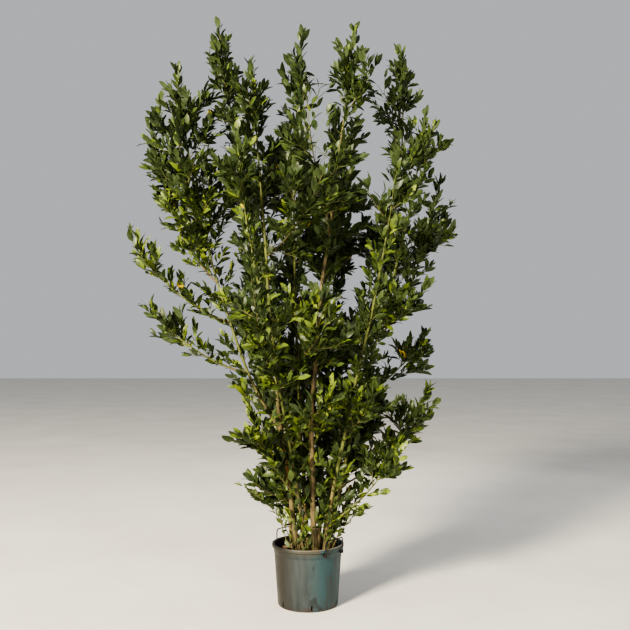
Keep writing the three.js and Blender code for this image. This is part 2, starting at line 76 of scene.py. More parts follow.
MM = 0.001
UP = np.array([0.0, 0.0, 1.0])
FRONT = np.array([0.0, -1.0, 0.0])
GOLDEN_TURN = math.pi * (3 - math.sqrt(5))

# The pot, its drain slots and its handles, with the frame's own sizes. The lip is the radius of the two arcs
# of the rolled rim, and the floor's ring is there only to keep its faces even.
POT = {
    "height": 298,
    "rim_radius": 177,
    "neck_radius": 167,
    "foot_radius": 147,
    "wall": 3.2,
    "floor": 4,
    "floor_ring": 60,
    "bead_height": 18,
    "under_bead": 2,
    "collar_height": 46,
    "collar_step": 1.8,
    "collar_corner": 0.4,
    "foot_round": 9,
    "rim_round": 5,
    "lip": 4.2,
    "lip_width": 1.5,
    "neck_flare": 0.3,
    "sides": 128,
    "sharp_from": 38,
}
# The arcs of its section, in degrees, and the steps of each of its stretches.
POT_ARCS = {"foot": (-80, 0), "bead": (-75, 0), "outer_lip": (0, 90), "inner_lip": (90, 180)}
POT_STEPS = {"foot": 7, "wall": 12, "bead": 6, "rim": 3, "outer_lip": 8, "inner_lip": 6, "inside": 8}
DRAIN = {"count": 6, "width": 8, "depth": 26, "low": 10, "high": 34, "rounding": 2.5, "first_angle": -82.5}
HANDLE = {
    "rod": 3,
    "sides": 14,
    "above": 42,
    "bend": 16,
    "off_rim": 1,
    "pad_width": 16,
    "pad_height": 15,
    "pad_top": 277,
    "pad_rounding": 3,
    "sharp_from": 40,
}
HANDLE_STEPS = {"leg": 8, "bend": 9, "bar": 22}
HANDLES = {"handle_front_right": (-62, -22), "handle_back_left": (110, 150)}
SOIL_LEVEL = 258
GAP = 0.3

# The compost's rings run from the outer share of its radius to the inner one. Its clods and lumps are given
# as their waves in a metre and their height.
COMPOST = {"edge_drop": 3, "rings": 34, "outer": 0.99, "inner": 0.03, "sides": 96, "sunk": 2}
CLODS = ((24, 5), (90, 2.4))
# Crumbs on the compost. Their spacing and sizes are in metres, and they lie no more than so many millimetres
# below its level.
CRUMBS = {
    "below": 6,
    "spacing": 0.0075,
    "smallest": 0.002,
    "largest": 0.0055,
    "density": 40000.0,
    "lumps": 1.3,
    "turn": 6.28,
    "seed": 5,
}
LITTER = {
    "count": 70,
    "reach": 145,
    "above": (1, 9),
    "tilt": 0.16,
    "lengths": (38, 66),
    "off_wall": 8,
    "seed": 41,
}

# Each cane has its foot on the compost, the sideways places of its two handles at 35 % and 70 % of its
# height, the tip of its leading shoot, and its half thickness.
CANES = {
    "cane_left": ((-45, -18), (-190, -60), (-205, -100), (-285, -150, 2660), 13),
    "cane_middle": ((0, 12), (-60, 20), (-110, 10), (-25, 40, 2890), 10),
    "cane_stout": ((42, -50), (-50, -150), (160, -210), (227, -150, 2830), 15),
    "cane_right": ((75, 22), (150, 60), (620, 120), (461, 150, 2840), 11),
    "cane_far_right": ((106, -22), (200, -40), (540, -60), (580, -70, 2440), 10),
    "cane_back_spire": ((-25, 56), (-60, 120), (-400, 150), (-468, 100, 2970), 10),
    "cane_back": ((52, 72), (90, 190), (190, 470), (150, 500, 2620), 11),
    "cane_front_left": ((-10, -76), (-80, -160), (-290, -400), (-320, -450, 2260), 9),
    "cane_front_right": ((80, -68), (150, -170), (380, -370), (400, -430, 2150), 10),
    "cane_back_left": ((-76, 36), (-130, 140), (-400, 400), (-400, 430, 2400), 10),
}
CANE_RISE = {"low": 0.35, "high": 0.7, "solid": 0.8, "reach": 140}

# Each bough has the limb that it forks from and where, its tip, its half thickness, the share of its
# length that is solid in the frame, and how far its foliage reaches.
BOUGHS = {
    "bough_left": ("cane_left", 0.235, (-649, -80, 2670), 9, 0.78, 130),
    "bough_left_top": ("bough_left", 0.52, (-805, 60, 2430), 5.5, 0.5, 130),
    "bough_left_arm": ("bough_left", 0.42, (-895, -60, 1850), 6, 0.5, 150),
    "bough_left_low": ("bough_left", 0.27, (-770, -120, 1475), 6, 0.5, 150),
    "bough_right_top": ("cane_far_right", 0.46, (664, 40, 2130), 5.5, 0.5, 130),
    "bough_right_arm": ("cane_stout", 0.36, (575, -190, 1560), 6, 0.5, 130),
    "bough_right_mid": ("cane_right", 0.27, (590, 60, 1345), 5.5, 0.5, 130),
    "bough_right_low": ("cane_far_right", 0.14, (595, -60, 1085), 5, 0.5, 130),
    "bough_right_foot": ("cane_front_right", 0.08, (449, -130, 846), 5, 0.5, 130),
}
BOUGH_BEND = {"near_out": 0.35, "near_rise": 0.1, "far_out": 0.87, "far_rise": 0.57}
TIP_RADIUS = 2
PATH_STEPS = 14

# Shoots leave the limbs at these shares of their length, each towards the emptiest side.
SHOOTS = {
    "cane_left": (0.1, 0.34, 0.58),
    "cane_middle": (0.2, 0.52),
    "cane_stout": (0.22, 0.6),
    "cane_right": (0.5,),
    "cane_back_spire": (0.13, 0.36, 0.6),
    "cane_back": (0.1, 0.3, 0.54),
    "cane_front_left": (0.14, 0.38),
    "cane_front_right": (0.3,),
    "bough_left": (0.6,),
}

# The crown's outline by height: how far it reaches to the left, to the right, and to front and back.
OUTLINE = np.array([
    (330, 190, 190, 190),
    (600, 190, 200, 250),
    (830, 230, 340, 350),
    (1080, 400, 570, 470),
    (1340, 530, 590, 540),
    (1700, 690, 640, 600),
    (2100, 780, 690, 640),
    (2420, 850, 620, 610),
    (2700, 690, 480, 500),
    (2930, 480, 290, 330),
], float)

# The frame's rule for shoots, for the large leaves, and for the twigs that bear them.
SHOOT = {
    "rises": (0.6, 1, 1.7),
    "shortest": 260,
    "longest": 680,
    "turns": 24,
    "shorter": 10,
    "flatter": 0.35,
    "bend": 0.6,
    "length_worth": 0.4,
    "far_enough": 400,
    "clear": 26,
    "too_near": 1000,
    "reach": 110,
    "judged_from": 0.2,
    "samples": 9,
}
# What leaves a stem sideways rises by this share.
SIDE_RISE = 0.15
LARGE_LEAF = {"length": 182, "width": 78, "widest": 0.42, "lift": 0.12}
# Places along and across a large leaf that stand for the whole of it. Where its half width is under the
# narrow one, its midrib alone does.
BLADE_SHARES = (0.2, 0.31, LARGE_LEAF["widest"], 0.56, 0.7, 0.85, 1)
BLADE_SIDES = (-1, -0.5, 0, 0.5, 1)
NARROW = 10
LEAF_SIZES = (1, 0.75)
LEAF_ASIDES = (0, 2.1, -2.1)
TWIG = {
    "step": 66,
    "fewest": 2,
    "first": 0.25,
    "stray": 0.4,
    "turn_stray": 0.4,
    "shorter": 0.4,
    "with_full_leaf": 250,
    "shortest": 240,
    "longest": 380,
    "bend": 0.55,
    "out": 0.92,
    "rise": 0.2,
    "samples": 5,
    "bare": 0.3,
    "leaf_step": 38,
    "leaf_turn": 1,
}
TWIG_REACH = {"base": 170, "per_stem": 0.32}
# The least value of a draw, and how far the draw spreads above it.
DRAWS = {
    "leaf_size": (0.85, 0.25),
    "leaf_angle": (0.75, 0.35),
    "twig_size": (0.85, 0.3),
    "twig_angle": (0.8, 0.3),
}
# A stem's own large leaves start at this share of its wood, and this much round from its twigs.
STEM_LEAVES = {"from": 0.4, "turn": 2}
# A leading shoot bears twigs only up to this share of its wood, less on a slim one, and its leaves get
# shorter towards its tip by this much.
LEADER = {"twigs_to": 0.55, "slim_twigs_to": 0.2, "leaf_fall": 0.45}
SLIM = ("cane_middle", "cane_back_spire", "bough_left_low")
TWIG_PARTS = (1, 0.86, 0.72, 0.6)
TWIG_ASIDES = (0, 1.1, -1.1)
LIMB_CLEARANCE = 9
CELL_MARGIN = 9
CROSSING = 14
MASS_STEPS = 8
LIGHT = {"outside": 0.4, "front": 0.12}

# The limbs of each side of the crown, whose leaves are joined into one piece and whose twigs into another.
SIDES = {
    "left": ("cane_left", "bough_left_arm", "bough_left_low"),
    "left_top": ("bough_left", "bough_left_top"),
    "front": ("cane_front_left", "cane_front_right", "bough_right_foot"),
    "middle": ("cane_middle", "cane_stout", "bough_right_arm"),
    "right": ("cane_right", "bough_right_mid"),
    "far_right": ("cane_far_right", "bough_right_top", "bough_right_low"),
    "back": ("cane_back", "cane_back_left"),
    "back_top": ("cane_back_spire",),
}

# The real leaves. Widths are shares of the widest place, at shares of the length.
LEAF = {"length": 62, "spread": 11, "shortest": 36, "longest": 92, "slender": 0.37, "thick": 0.45}
LEAF_SHARES = (0.08, 0.35, 0.65, 0.87)
LEAF_WIDTHS = (0.1, 0.94, 0.94, 0.48)
LEAF_TIP = 0.99
# The middle and the spread of what is drawn for each leaf, and the two ends of its fold's draw.
LEAF_DRAWS = {
    "turn": (0, 0.25),
    "rise": (0.16, 0.1),
    "width": (1, 0.1),
    "curl": (0.07, 0.05),
    "sweep": (0, 0.04),
}
LEAF_FOLD = (0.08, 0.4)
LEAF_ARCH = 0.05
LEAF_WAVE = {"depth": 0.07, "waves": 9}
LEAF_ANGLES = {"low": 0.95, "tip": 0.5, "spread": 0.12}
LAST_ANGLES = {"low": 0.3, "tip": 0.3, "spread": 0.1}
# What a real leaf's face turns to: up, out of the crown, the front, and a little at random.
LEAF_LIGHT = {"up": 1, "outside": 0.45, "front": 0.12, "spread": 0.45}
# A stem ends this far short of the tip of its last leaves.
LAST_LEAF = 48
# Side sprigs get shorter over this last stretch of a leading shoot, down to this share.
SPIRE = {"stretch": 520, "share": 0.32}
# The share of the usual leaves on an airy limb, and how much larger they are there.
AIRY = {"bough_left_arm": 0.5, "bough_left_low": 0.55, "cane_middle": 0.8}
AIRY_SIZE = 1.22
# A leaf is kept if it goes past the frame's box by no more than this, and clears the bark by this.
PAST_BOX = 8
OFF_BARK = 2.5

# Rings of a thin stem: how far apart, and how many at least.
STEM = {"ring": 22, "fewest": 4}
# A leafy side stem. Its stem is a share of the large leaf that it stands for, and bears a leaf at each step.
# A tuft is the last leaves of a stem.
SPRIG = {
    "stem": 0.66,
    "wood": 0.98,
    "thick": 1.5,
    "tip_thick": 0.8,
    "bend": 0.5,
    "out": 0.95,
    "rise": (0.08, 0.24),
    "step": 10.5,
    "fewest": 2,
    "first": (0.5, 1),
    "last": 0.97,
    "sizes": (0.85, 1.02),
    "tuft": np.array((0.98, 1.0)),
    "tuft_turn": 1.3,
    "tuft_size": 0.85,
}
# The stem of a twig and of a mass, with its half thickness, its own leaves, its tuft, which is this far from
# its end, and the sprigs from its sides.
TWIG_STEM = {
    "thick": 2.9,
    "tip_thick": 1.0,
    "leaves_from": 0.3,
    "step": 11,
    "fewest": 3,
    "size": 1,
    "tuft": np.array((0.02, 0.01, 0)),
    "tuft_turn": 1,
    "tuft_size": 0.88,
    "fresh_tuft": False,
    "sprigs": 4,
    "sprig_places": (0.2, 0.66),
    "sprig_angles": (0.6, 0.9),
    "sprig_lengths": (100, 155),
}
MASS_STEM = {
    "thick": 4.6,
    "tip_thick": 1.2,
    "leaves_from": 0.25,
    "step": 12,
    "size": 1.08,
    "tuft": np.array((0.03, 0.015, 0.008, 0.004, 0)),
    "tuft_turn": 1,
    "tuft_size": 1,
    "fresh_tuft": True,
    "sprig_step": 45,
    "sprig_places": (0, 0.6),
    "sprig_angles": (0.6, 0.95),
    "sprig_lengths": (110, 170),
}
# Sprigs straight from a cane or bough. Their size goes from the low share at its foot to the high one at its
# tip, and two limbs have the long high one.
SPURS = {
    "cane_from": 0.03,
    "bough_from": 0.12,
    "step": 31,
    "places": (0.1, 0.9),
    "turns": (0, 1),
    "angles": (0.65, 1.05),
    "lengths": (110, 180),
    "low": 0.9,
    "high": 0.85,
    "long_high": 1.5,
}
LONG_SPURS = ("cane_left", "bough_left")
# A young shoot from the compost, with its wood, its leaves and its tuft.
LOW_SHOOT = {
    "wood": 0.98,
    "thick": 3,
    "tip_thick": 1,
    "leaves_from": 0.25,
    "step": 20,
    "turns": (0, 6),
    "size": 0.72,
    "tuft": np.array((0.99, 1.0)),
    "tuft_turn": 1.0,
    "tuft_size": 0.6,
}

TINTS = ("deep", "mid", "fresh", "young", "yellow")
# How likely each tint is in the middle of the crown, and at its outside. The darker mix in the middle is
# partly painted shade and partly older leaves, and the outside holds the young growth.
INNER_TINTS = (0.68, 0.28, 0.04, 0, 0)
OUTER_TINTS = (0.28, 0.46, 0.22, 0.04, 0)
# The outer mix gives way to the inner one from the first of these heights up to the second, by this share.
# This is painted shade on the upper crown.
PAINTED_SHADE_HIGH = {"from": 1500, "to": 2100, "share": 0.95}
# The outer mix comes further in from the first of these heights down to the second, by this share. This is
# painted light on the lower crown, against its shade.
PAINTED_LIGHT_LOW = {"from": 1700, "to": 900, "share": 0.8}
# The tip of the long arm at the left is never darker than fresh.
FRESH_TIP = {"left_of": -380, "from": 1600, "to": 2000}
# In a spray, this share of the leaves is one tint darker, one lighter, or yellow.
ODD_LEAVES = {"darker": 0.2, "lighter": 0.16, "yellow": 0.006}

# The viewer stands here, in metres, and looks up a little. The focal length is in the picture's pixels.
PICTURE_WIDTH = 630
FOCAL_PIXELS = 803
CAMERA = {
    "place": (0.035, -4.0, 1.25),
    "rise": math.radians(2.4),
    "angle": 2 * math.atan(PICTURE_WIDTH / 2 / FOCAL_PIXELS),
}
# Each light has its place, what it points at, its size, its power in watts, and its colour.
LIGHTS = {
    "key": ((-5.8, -8.4, 5.4), (0, 0, 1.3), 2.2, 5400, (1.0, 0.89, 0.69)),
    "fill": ((2.4, -4.6, 0.9), (0, 0, 0.7), 2.6, 110, (1.0, 0.96, 0.90)),
    "back": ((1.5, 4.0, 3.6), (0, 0, 1.3), 2.5, 70, (1.0, 0.97, 0.92)),
}
SURROUNDINGS = {"colour": (0.90, 0.92, 0.95, 1), "strength": 0.5}
FLOOR_SIZE = 60

# Bark: sides and ring length of the mesh, the root flare, the swelling where a bough forks, how thin the tip
# gets, how deep a cane's foot goes into the compost, and the length over which the colour turns to olive.
BARK = {
    "sides": 18,
    "ring": 9,
    "flare": 0.12,
    "flare_fall": 45,
    "fork": 0.4,
    "fork_fall": 24,
    "tip": 0.55,
    "tip_fall": 4,
    "tip_cap": 2,
    "rooted": 8,
    "turns_olive": 0.3,
}
# Long ridges round the limb: their number, the length over which they wander, and their depth.
RIDGES = ((2, 210, 0.03), (3, 330, 0.02), (5, 120, 0.012))
RIDGE = {"wander": 1.3, "mean": 0.6, "fade": 0.4, "fade_length": 0.37, "grain": 0.012}
# Old joints: where the first lies, how far apart they are, and how long and high each is, with its scar.
JOINT = {"first": (30, 80), "apart": (38, 105), "length": 7, "ring": 0.06, "scar": 0.16, "scar_narrow": 4}
# A limb sways off its even curve by this share of its radius, over these lengths across and forward.
SWAY = {"share": 0.3, "across": 95, "forward": 140, "settle": 150}
# The share of its length up to which a limb's bark is brown.
BROWN_UNTIL = {"cane_left": 0.26, "cane_stout": 0.72, "cane_right": 0.2, "bough_left": 0.1}
BROWN_USUAL = 0.1
# A stretch of the left cane has lost its outer bark, and ends above in the collar of a lost branch.
STRIPPED = {"cane_left": (0.135, 0.205)}
NOT_STRIPPED = (2, 2)
STRIPPED_EDGE = 12
COLLAR = {"height": 11, "depth": 0.55}
# Stretches of limb that show bare at the front, and how far off them a leaf in front lies.
BARE_FRONT = {
    "cane_stout": (0, 0.52),
    "cane_middle": (0.05, 0.66),
    "cane_left": (0.03, 0.72),
    "bough_left": (0, 0.4),
}
BARE_WIDTH = 12
BARE_SHARE = 0.85
LIMB_SAMPLES = 25
BARE_SAMPLES = 30
# The crown's gaps as the viewer sees them, each an ellipse: its middle across and up, and its half sizes.
GAPS = (
    (45, 2470, 55, 300),
    (80, 2231, 28, 130),
    (362, 2588, 30, 110),
    (372, 2073, 60, 75),
)
GAP_SHARE = 0.9

TWIG_SIDES = 5
# The first seeds of the bark and of the leaves and twigs. The next limb or side takes the next seed.
BARK_SEED = 100
GREENERY_SEED = 300

# Young shoots from the compost: foot, bend and tip.
LOW_SHOOTS = (
    ((-62, -40), (-120, -70, 480), (-320, -95, 590)),
    ((-22, -112), (-18, -122, 360), (-34, -132, 440)),
    ((-84, -92), (-92, -104, 320), (-70, -116, 380)),
    ((-56, -108), (-50, -118, 330), (-66, -126, 400)),
    ((-2, -122), (4, -130, 310), (-10, -136, 362)),
    ((24, -118), (30, -126, 330), (22, -132, 400)),
    ((108, -88), (150, -120, 400), (240, -150, 470)),
    ((96, -74), (112, -100, 420), (130, -120, 560)),
    ((70, -96), (84, -118, 380), (96, -130, 470)),
    ((118, 30), (150, 30, 440), (180, 10, 620)),
    ((128, -20), (160, -30, 420), (228, -50, 540)),
    ((-100, 60), (-130, 80, 380), (-190, 110, 480)),
    ((-72, -84), (-84, -100, 300), (-58, -118, 346)),
    ((-60, -98), (-44, -122, 300), (-76, -134, 352)),
    ((-40, -116), (-46, -128, 296), (-28, -136, 338)),
    ((-12, -110), (-6, -124, 316), (-18, -130, 384)),
    ((86, -92), (104, -112, 330), (126, -124, 420)),
)


# Curves and directions


def unit(vectors):
    return vectors / np.linalg.norm(vectors, axis=-1, keepdims=True)


def lerp(first, second, share):
    return first + (second - first) * share


def ramp(value, span):
    """0 at the start of a span and before it, 1 at its end and past it, and even between."""
    return min(1, max(0, (value - span["from"]) / (span["to"] - span["from"])))


class Bezier:
    """A Bezier curve through its control points, with places and directions at shares of it."""

    def __init__(self, *points):
        self.points = np.array(points, float)
        self.steps = np.diff(self.points, axis=0) * (len(points) - 1)

    @staticmethod
    def _mix(points, share):
        share = np.asarray(share, float)[..., None]
        degree = len(points) - 1
        weights = [math.comb(degree, i) * (1 - share) ** (degree - i) * share**i for i in range(len(points))]
        return sum(weight * point for weight, point in zip(weights, points))

    def at(self, share):
        return self._mix(self.points, share)

    def heading(self, share):
        return unit(self._mix(self.steps, share))

    def length(self):
        places = self.at(np.linspace(0, 1, 201))
        return np.linalg.norm(np.diff(places, axis=0), axis=1).sum()


def on_circle(radius, angle, z):
    return np.array([radius * math.cos(angle), radius * math.sin(angle), z])


def branch_direction(stem, turn, angle):
    """The direction that leaves a stem at an angle, on the side that a turn about the upright names."""
    turn = np.asarray(turn, float)
    side = np.stack([np.cos(turn), np.sin(turn), np.full_like(turn, SIDE_RISE)], axis=-1)
    side = unit(side - (side * stem).sum(-1, keepdims=True) * stem)
    angle = np.asarray(angle, float)[..., None]
    return unit(stem * np.cos(angle) + side * np.sin(angle))


def light_face(along):
    """The upper face of a blade, which turns to the light from above, the outside and a little the front."""
    light = np.stack([
        along[..., 0] * LIGHT["outside"],
        along[..., 1] * LIGHT["outside"] - LIGHT["front"],
        np.ones(along.shape[:-1]),
    ], axis=-1)
    across = unit(np.cross(along, light))
    return np.cross(across, along)


# Limbs


class Limb:
    """A curve whose half thickness falls evenly from its foot to the tip of its shoot."""

    def __init__(self, name, parent, points, thick, solid, reach):
        self.name = name
        self.parent = parent
        self.curve = Bezier(*points)
        self.thick = thick
        self.solid = solid
        self.reach = reach
        self.length = self.curve.length()
        shares = np.linspace(0, solid, PATH_STEPS + 1)
        self.path = self.curve.at(shares)
        self.path_radius = self.radius(shares)

    def radius(self, share):
        return lerp(self.thick, TIP_RADIUS, share)


def cane_limb(name, foot, low, high, tip, thick):
    start = SOIL_LEVEL + GAP
    rise = tip[2] - start
    points = (
        (*foot, start),
        (*low, start + CANE_RISE["low"] * rise),
        (*high, start + CANE_RISE["high"] * rise),
        tip,
    )
    return Limb(name, None, points, thick, CANE_RISE["solid"], CANE_RISE["reach"])


def bough_limb(name, limbs, parent_name, at, tip, thick, solid, reach):
    """A bough leaves its parent low, and turns up towards its tip."""
    parent = next(limb for limb in limbs if limb.name == parent_name)
    start = parent.curve.at(at)
    way = np.array(tip, float) - start
    near = start + way * (BOUGH_BEND["near_out"], BOUGH_BEND["near_out"], BOUGH_BEND["near_rise"])
    far = start + way * (BOUGH_BEND["far_out"], BOUGH_BEND["far_out"], BOUGH_BEND["far_rise"])
    return Limb(name, parent, (start, near, far, tip), thick, solid, reach)


def grow_limbs():
    limbs = [cane_limb(name, *cane) for name, cane in CANES.items()]
    for name, bough in BOUGHS.items():
        limbs.append(bough_limb(name, limbs, *bough))
    return limbs


# Space


def segment_distances(points, starts, ends):
    """The distance of each point from each segment."""
    ways = ends - starts
    offsets = points[:, None] - starts
    shares = np.clip((offsets * ways).sum(2) / (ways * ways).sum(1), 0, 1)
    return np.linalg.norm(offsets - shares[..., None] * ways, axis=2)


def gap_to_limbs(points, limbs):
    """How far each point lies off the nearest of the limbs."""
    starts = np.concatenate([limb.path[:-1] for limb in limbs])
    ends = np.concatenate([limb.path[1:] for limb in limbs])
    radii = np.concatenate([limb.path_radius[:-1] for limb in limbs])
    return (segment_distances(points, starts, ends) - radii).min(axis=1)


def stem_distances(points, masses):
    """The distance of each point from the stem of each mass."""
    starts = np.concatenate([mass.path[:-1] for mass in masses])
    ends = np.concatenate([mass.path[1:] for mass in masses])
    return segment_distances(points, starts, ends).reshape(len(points), len(masses), MASS_STEPS).min(axis=2)


def outline_share(points):
    """Where each point lies in the crown's outline: 0 in the middle and 1 at the outline."""
    x, y, z = points.T
    left, right, deep = (np.interp(z, OUTLINE[:, 0], OUTLINE[:, k]) for k in (1, 2, 3))
    return (x / np.where(x < 0, left, right)) ** 2 + (y / deep) ** 2


class Space:
    """What the foliage of one mass keeps to: off the limbs, nearest to its own stem, in the outline."""

    def __init__(self, mass, limbs, masses):
        self.mass = mass
        self.limbs = limbs
        self.masses = masses
        self.own = masses.index(mass)

    def holds(self, points):
        if gap_to_limbs(points, self.limbs).min() < LIMB_CLEARANCE:
            return False
        distances = stem_distances(points, self.masses)
        own = distances[:, self.own].copy()
        if ((own > self.mass.reach) & (outline_share(points) > 1)).any():
            return False
        distances[:, self.own] = math.inf
        return bool((distances > own[:, None] + CELL_MARGIN).all())


# Masses


class Mass:
    """The foliage round one stem, which is a limb's leading shoot or a shoot from its side."""

    def __init__(self, name, limb, curve, start, reach):
        self.name = name
        self.limb = limb
        self.curve = curve
        self.start = start
        self.reach = reach
        self.path = curve.at(np.linspace(start, 1, MASS_STEPS + 1))
        self.length = np.linalg.norm(np.diff(self.path, axis=0), axis=1).sum()
        self.end = wood_end(start, self.length, LARGE_LEAF["length"])
        self.twigs = []
        self.leaves = []
        self.taken = np.empty((0, 3))


def wood_end(start, length, leaf_length):
    """The share of a stem where its wood ends and its last large leaf begins."""
    return 1 - (1 - start) * leaf_length / length


def shoot_curves(start):
    """The curves that a side shoot may take, at several turns and rises."""
    curves = []
    count = SHOOT["turns"] * len(SHOOT["rises"])
    for k in range(count):
        out = unit(on_circle(1, k / count * math.tau, SHOOT["rises"][k % len(SHOOT["rises"])]))
        length = SHOOT["longest"]
        while length > SHOOT["shortest"] and outline_share((start + out * length)[None])[0] > 1:
            length -= SHOOT["shorter"]
        level = out * (1, 1, SHOOT["flatter"])
        curves.append((length, Bezier(start, start + level * length * SHOOT["bend"], start + out * length)))
    return curves


def side_mass(name, limb, at, limbs, masses):
    """A shoot on the side where its outer part lies furthest from all other stems."""
    shares = np.linspace(SHOOT["judged_from"], 1, SHOOT["samples"])
    others = [other for other in limbs if other is not limb]
    best_score = -math.inf
    for length, curve in shoot_curves(limb.curve.at(at)):
        points = curve.at(shares)
        nearest = np.minimum(stem_distances(points, masses).min(axis=1), gap_to_limbs(points, others))
        nearest = np.minimum(nearest, SHOOT["far_enough"])
        score = length * SHOOT["length_worth"] + (nearest * shares).sum()
        score -= SHOOT["too_near"] * (nearest < SHOOT["clear"]).sum()
        if score > best_score:
            best_score, best_curve = score, curve
    return Mass(name, limb, best_curve, 0, SHOOT["reach"])


def list_masses(limbs):
    masses = [Mass(f"foliage_{limb.name}", limb, limb.curve, limb.solid, limb.reach) for limb in limbs]
    for limb_name, shares in SHOOTS.items():
        limb = next(other for other in limbs if other.name == limb_name)
        for i, at in enumerate(shares):
            masses.append(side_mass(f"foliage_{limb_name}_{i + 1}", limb, at, limbs, masses))
    return masses


# The frame's seeded growth


def seeded_random(seed):
    """A linear congruential generator, which gives the same draws as the one in the frame's source."""
    state = seed * 7919 + 12345

    def draw():
        nonlocal state
        state = (state * 1664525 + 1013904223) % 4294967296
        return state / 4294967296

    draw()
    return draw


def drawn(random, name):
    least, spread = DRAWS[name]
    return least + spread * random()


def whole(value):
    """The nearest whole number. A half goes up, as it does in the frame's source."""
    return math.floor(value + 0.5)


class Sprig:
    """One large leaf of the frame's rule, which stands for a spray of real ones."""

    def __init__(self, root, along, length):
        self.root = root
        self.along = along
        self.length = length


class Twig:
    def __init__(self, curve, length, end, size):
        self.curve = curve
        self.length = length
        self.end = end
        self.size = size
        self.turn = 0.0


def blade_grid():
    """Places over a large leaf that stand for the whole of it, along it and across it."""
    widest = LARGE_LEAF["widest"]
    grid = []
    for share in BLADE_SHARES:
        half = LARGE_LEAF["width"] / 2 * min(share / widest, (1 - share) / (1 - widest))
        for side in BLADE_SIDES if half > NARROW else (0,):
            grid.append((share, side * half))
    return np.array(grid)


BLADE_GRID = blade_grid()


def blade_points(root, along, length):
    across = np.cross(along, light_face(along))
    return root + BLADE_GRID[:, :1] * length * along + BLADE_GRID[:, 1:] * across


def crosses(points, taken):
    """Whether a blade or twig would cross what its mass already has."""
    if not len(taken):
        return False
    return bool((np.linalg.norm(points[:, None] - taken, axis=2) < CROSSING).any())


def take(mass, space, points):
    """Takes the place of some points in a mass, if there is room for all of them."""
    if crosses(points, mass.taken) or not space.holds(points):
        return False
    mass.taken = np.concatenate([mass.taken, points])
    return True


def grow_leaf(mass, space, place, stem, turn, angle, length):
    for size in LEAF_SIZES:
        for aside in LEAF_ASIDES:
            along = unit(branch_direction(stem, turn + aside, angle) + UP * LARGE_LEAF["lift"])
            if take(mass, space, blade_points(place, along, length * size)):
                mass.leaves.append(Sprig(place, along, length * size))
                return


def grow_leaves(mass, space, curve, start, end, length, turn, random, fall=0):
    count = max(1, whole(length / TWIG["leaf_step"]))
    for k in range(count):
        share = lerp(start, end, (k + 0.5) / count)
        size = LARGE_LEAF["length"] * drawn(random, "leaf_size") * (1 - fall * (k + 0.5) / count)
        angle = drawn(random, "leaf_angle")
        side = turn + k * GOLDEN_TURN
        grow_leaf(mass, space, curve.at(share), curve.heading(share), side, angle, size)


def try_twig(mass, space, start, heading, length):
    """A twig that ends in a large leaf, if the whole of it has room."""
    tip = start + heading * length * TWIG["out"] + UP * length * TWIG["rise"]
    curve = Bezier(start, start + heading * length * TWIG["bend"], tip)
    size = min(1, length / TWIG["with_full_leaf"])
    end = wood_end(0, length, LARGE_LEAF["length"] * size)
    wood = curve.at(np.linspace(TWIG["bare"], 1, TWIG["samples"]) * end)
    blade = blade_points(curve.at(end), curve.heading(1), LARGE_LEAF["length"] * size)
    if take(mass, space, np.concatenate([wood, blade])):
        return Twig(curve, length, end, size)
    return None


def grow_twig(mass, space, share, turn, angle, full):
    for part in TWIG_PARTS:
        for aside in TWIG_ASIDES:
            heading = branch_direction(mass.curve.heading(share), turn + aside, angle)
            twig = try_twig(mass, space, mass.curve.at(share), heading, full * part)
            if twig:
                return twig
    return None


def twig_top(mass):
    """The share of a mass's wood that bears twigs."""
    if mass.start == 0:
        return 1
    return LEADER["slim_twigs_to"] if mass.limb.name in SLIM else LEADER["twigs_to"]


def grow_mass(mass, seed, limbs, masses):
    random = seeded_random(seed)
    space = Space(mass, limbs, masses)
    wood_length = mass.length - LARGE_LEAF["length"]
    top = twig_top(mass)
    fall = LEADER["leaf_fall"] if mass.start > 0 else 0
    count = max(TWIG["fewest"], whole(wood_length * top / TWIG["step"]))
    reach = TWIG_REACH["base"] + TWIG_REACH["per_stem"] * mass.length
    spread = min(max(reach, TWIG["shortest"]), TWIG["longest"])
    first_turn = random() * math.tau
    for k in range(count):
        along = (k + TWIG["first"] + TWIG["stray"] * random()) / count
        turn = first_turn + k * GOLDEN_TURN + TWIG["turn_stray"] * random()
        angle = drawn(random, "twig_angle")
        full = spread * (1 - TWIG["shorter"] * along) * drawn(random, "twig_size")
        twig = grow_twig(mass, space, lerp(mass.start, mass.end, along * top), turn, angle, full)
        if twig:
            twig.turn = turn
            mass.twigs.append(twig)
    for twig in mass.twigs:
        wood = twig.length - LARGE_LEAF["length"] * twig.size
        bare = TWIG["bare"] * twig.end
        grow_leaves(mass, space, twig.curve, bare, twig.end, wood, twig.turn + TWIG["leaf_turn"], random)
    lower = lerp(mass.start, mass.end, STEM_LEAVES["from"])
    length = wood_length * (1 - STEM_LEAVES["from"])
    turn = first_turn + STEM_LEAVES["turn"]
    grow_leaves(mass, space, mass.curve, lower, mass.end, length, turn, random, fall)


# Sprigs, stems and real leaves


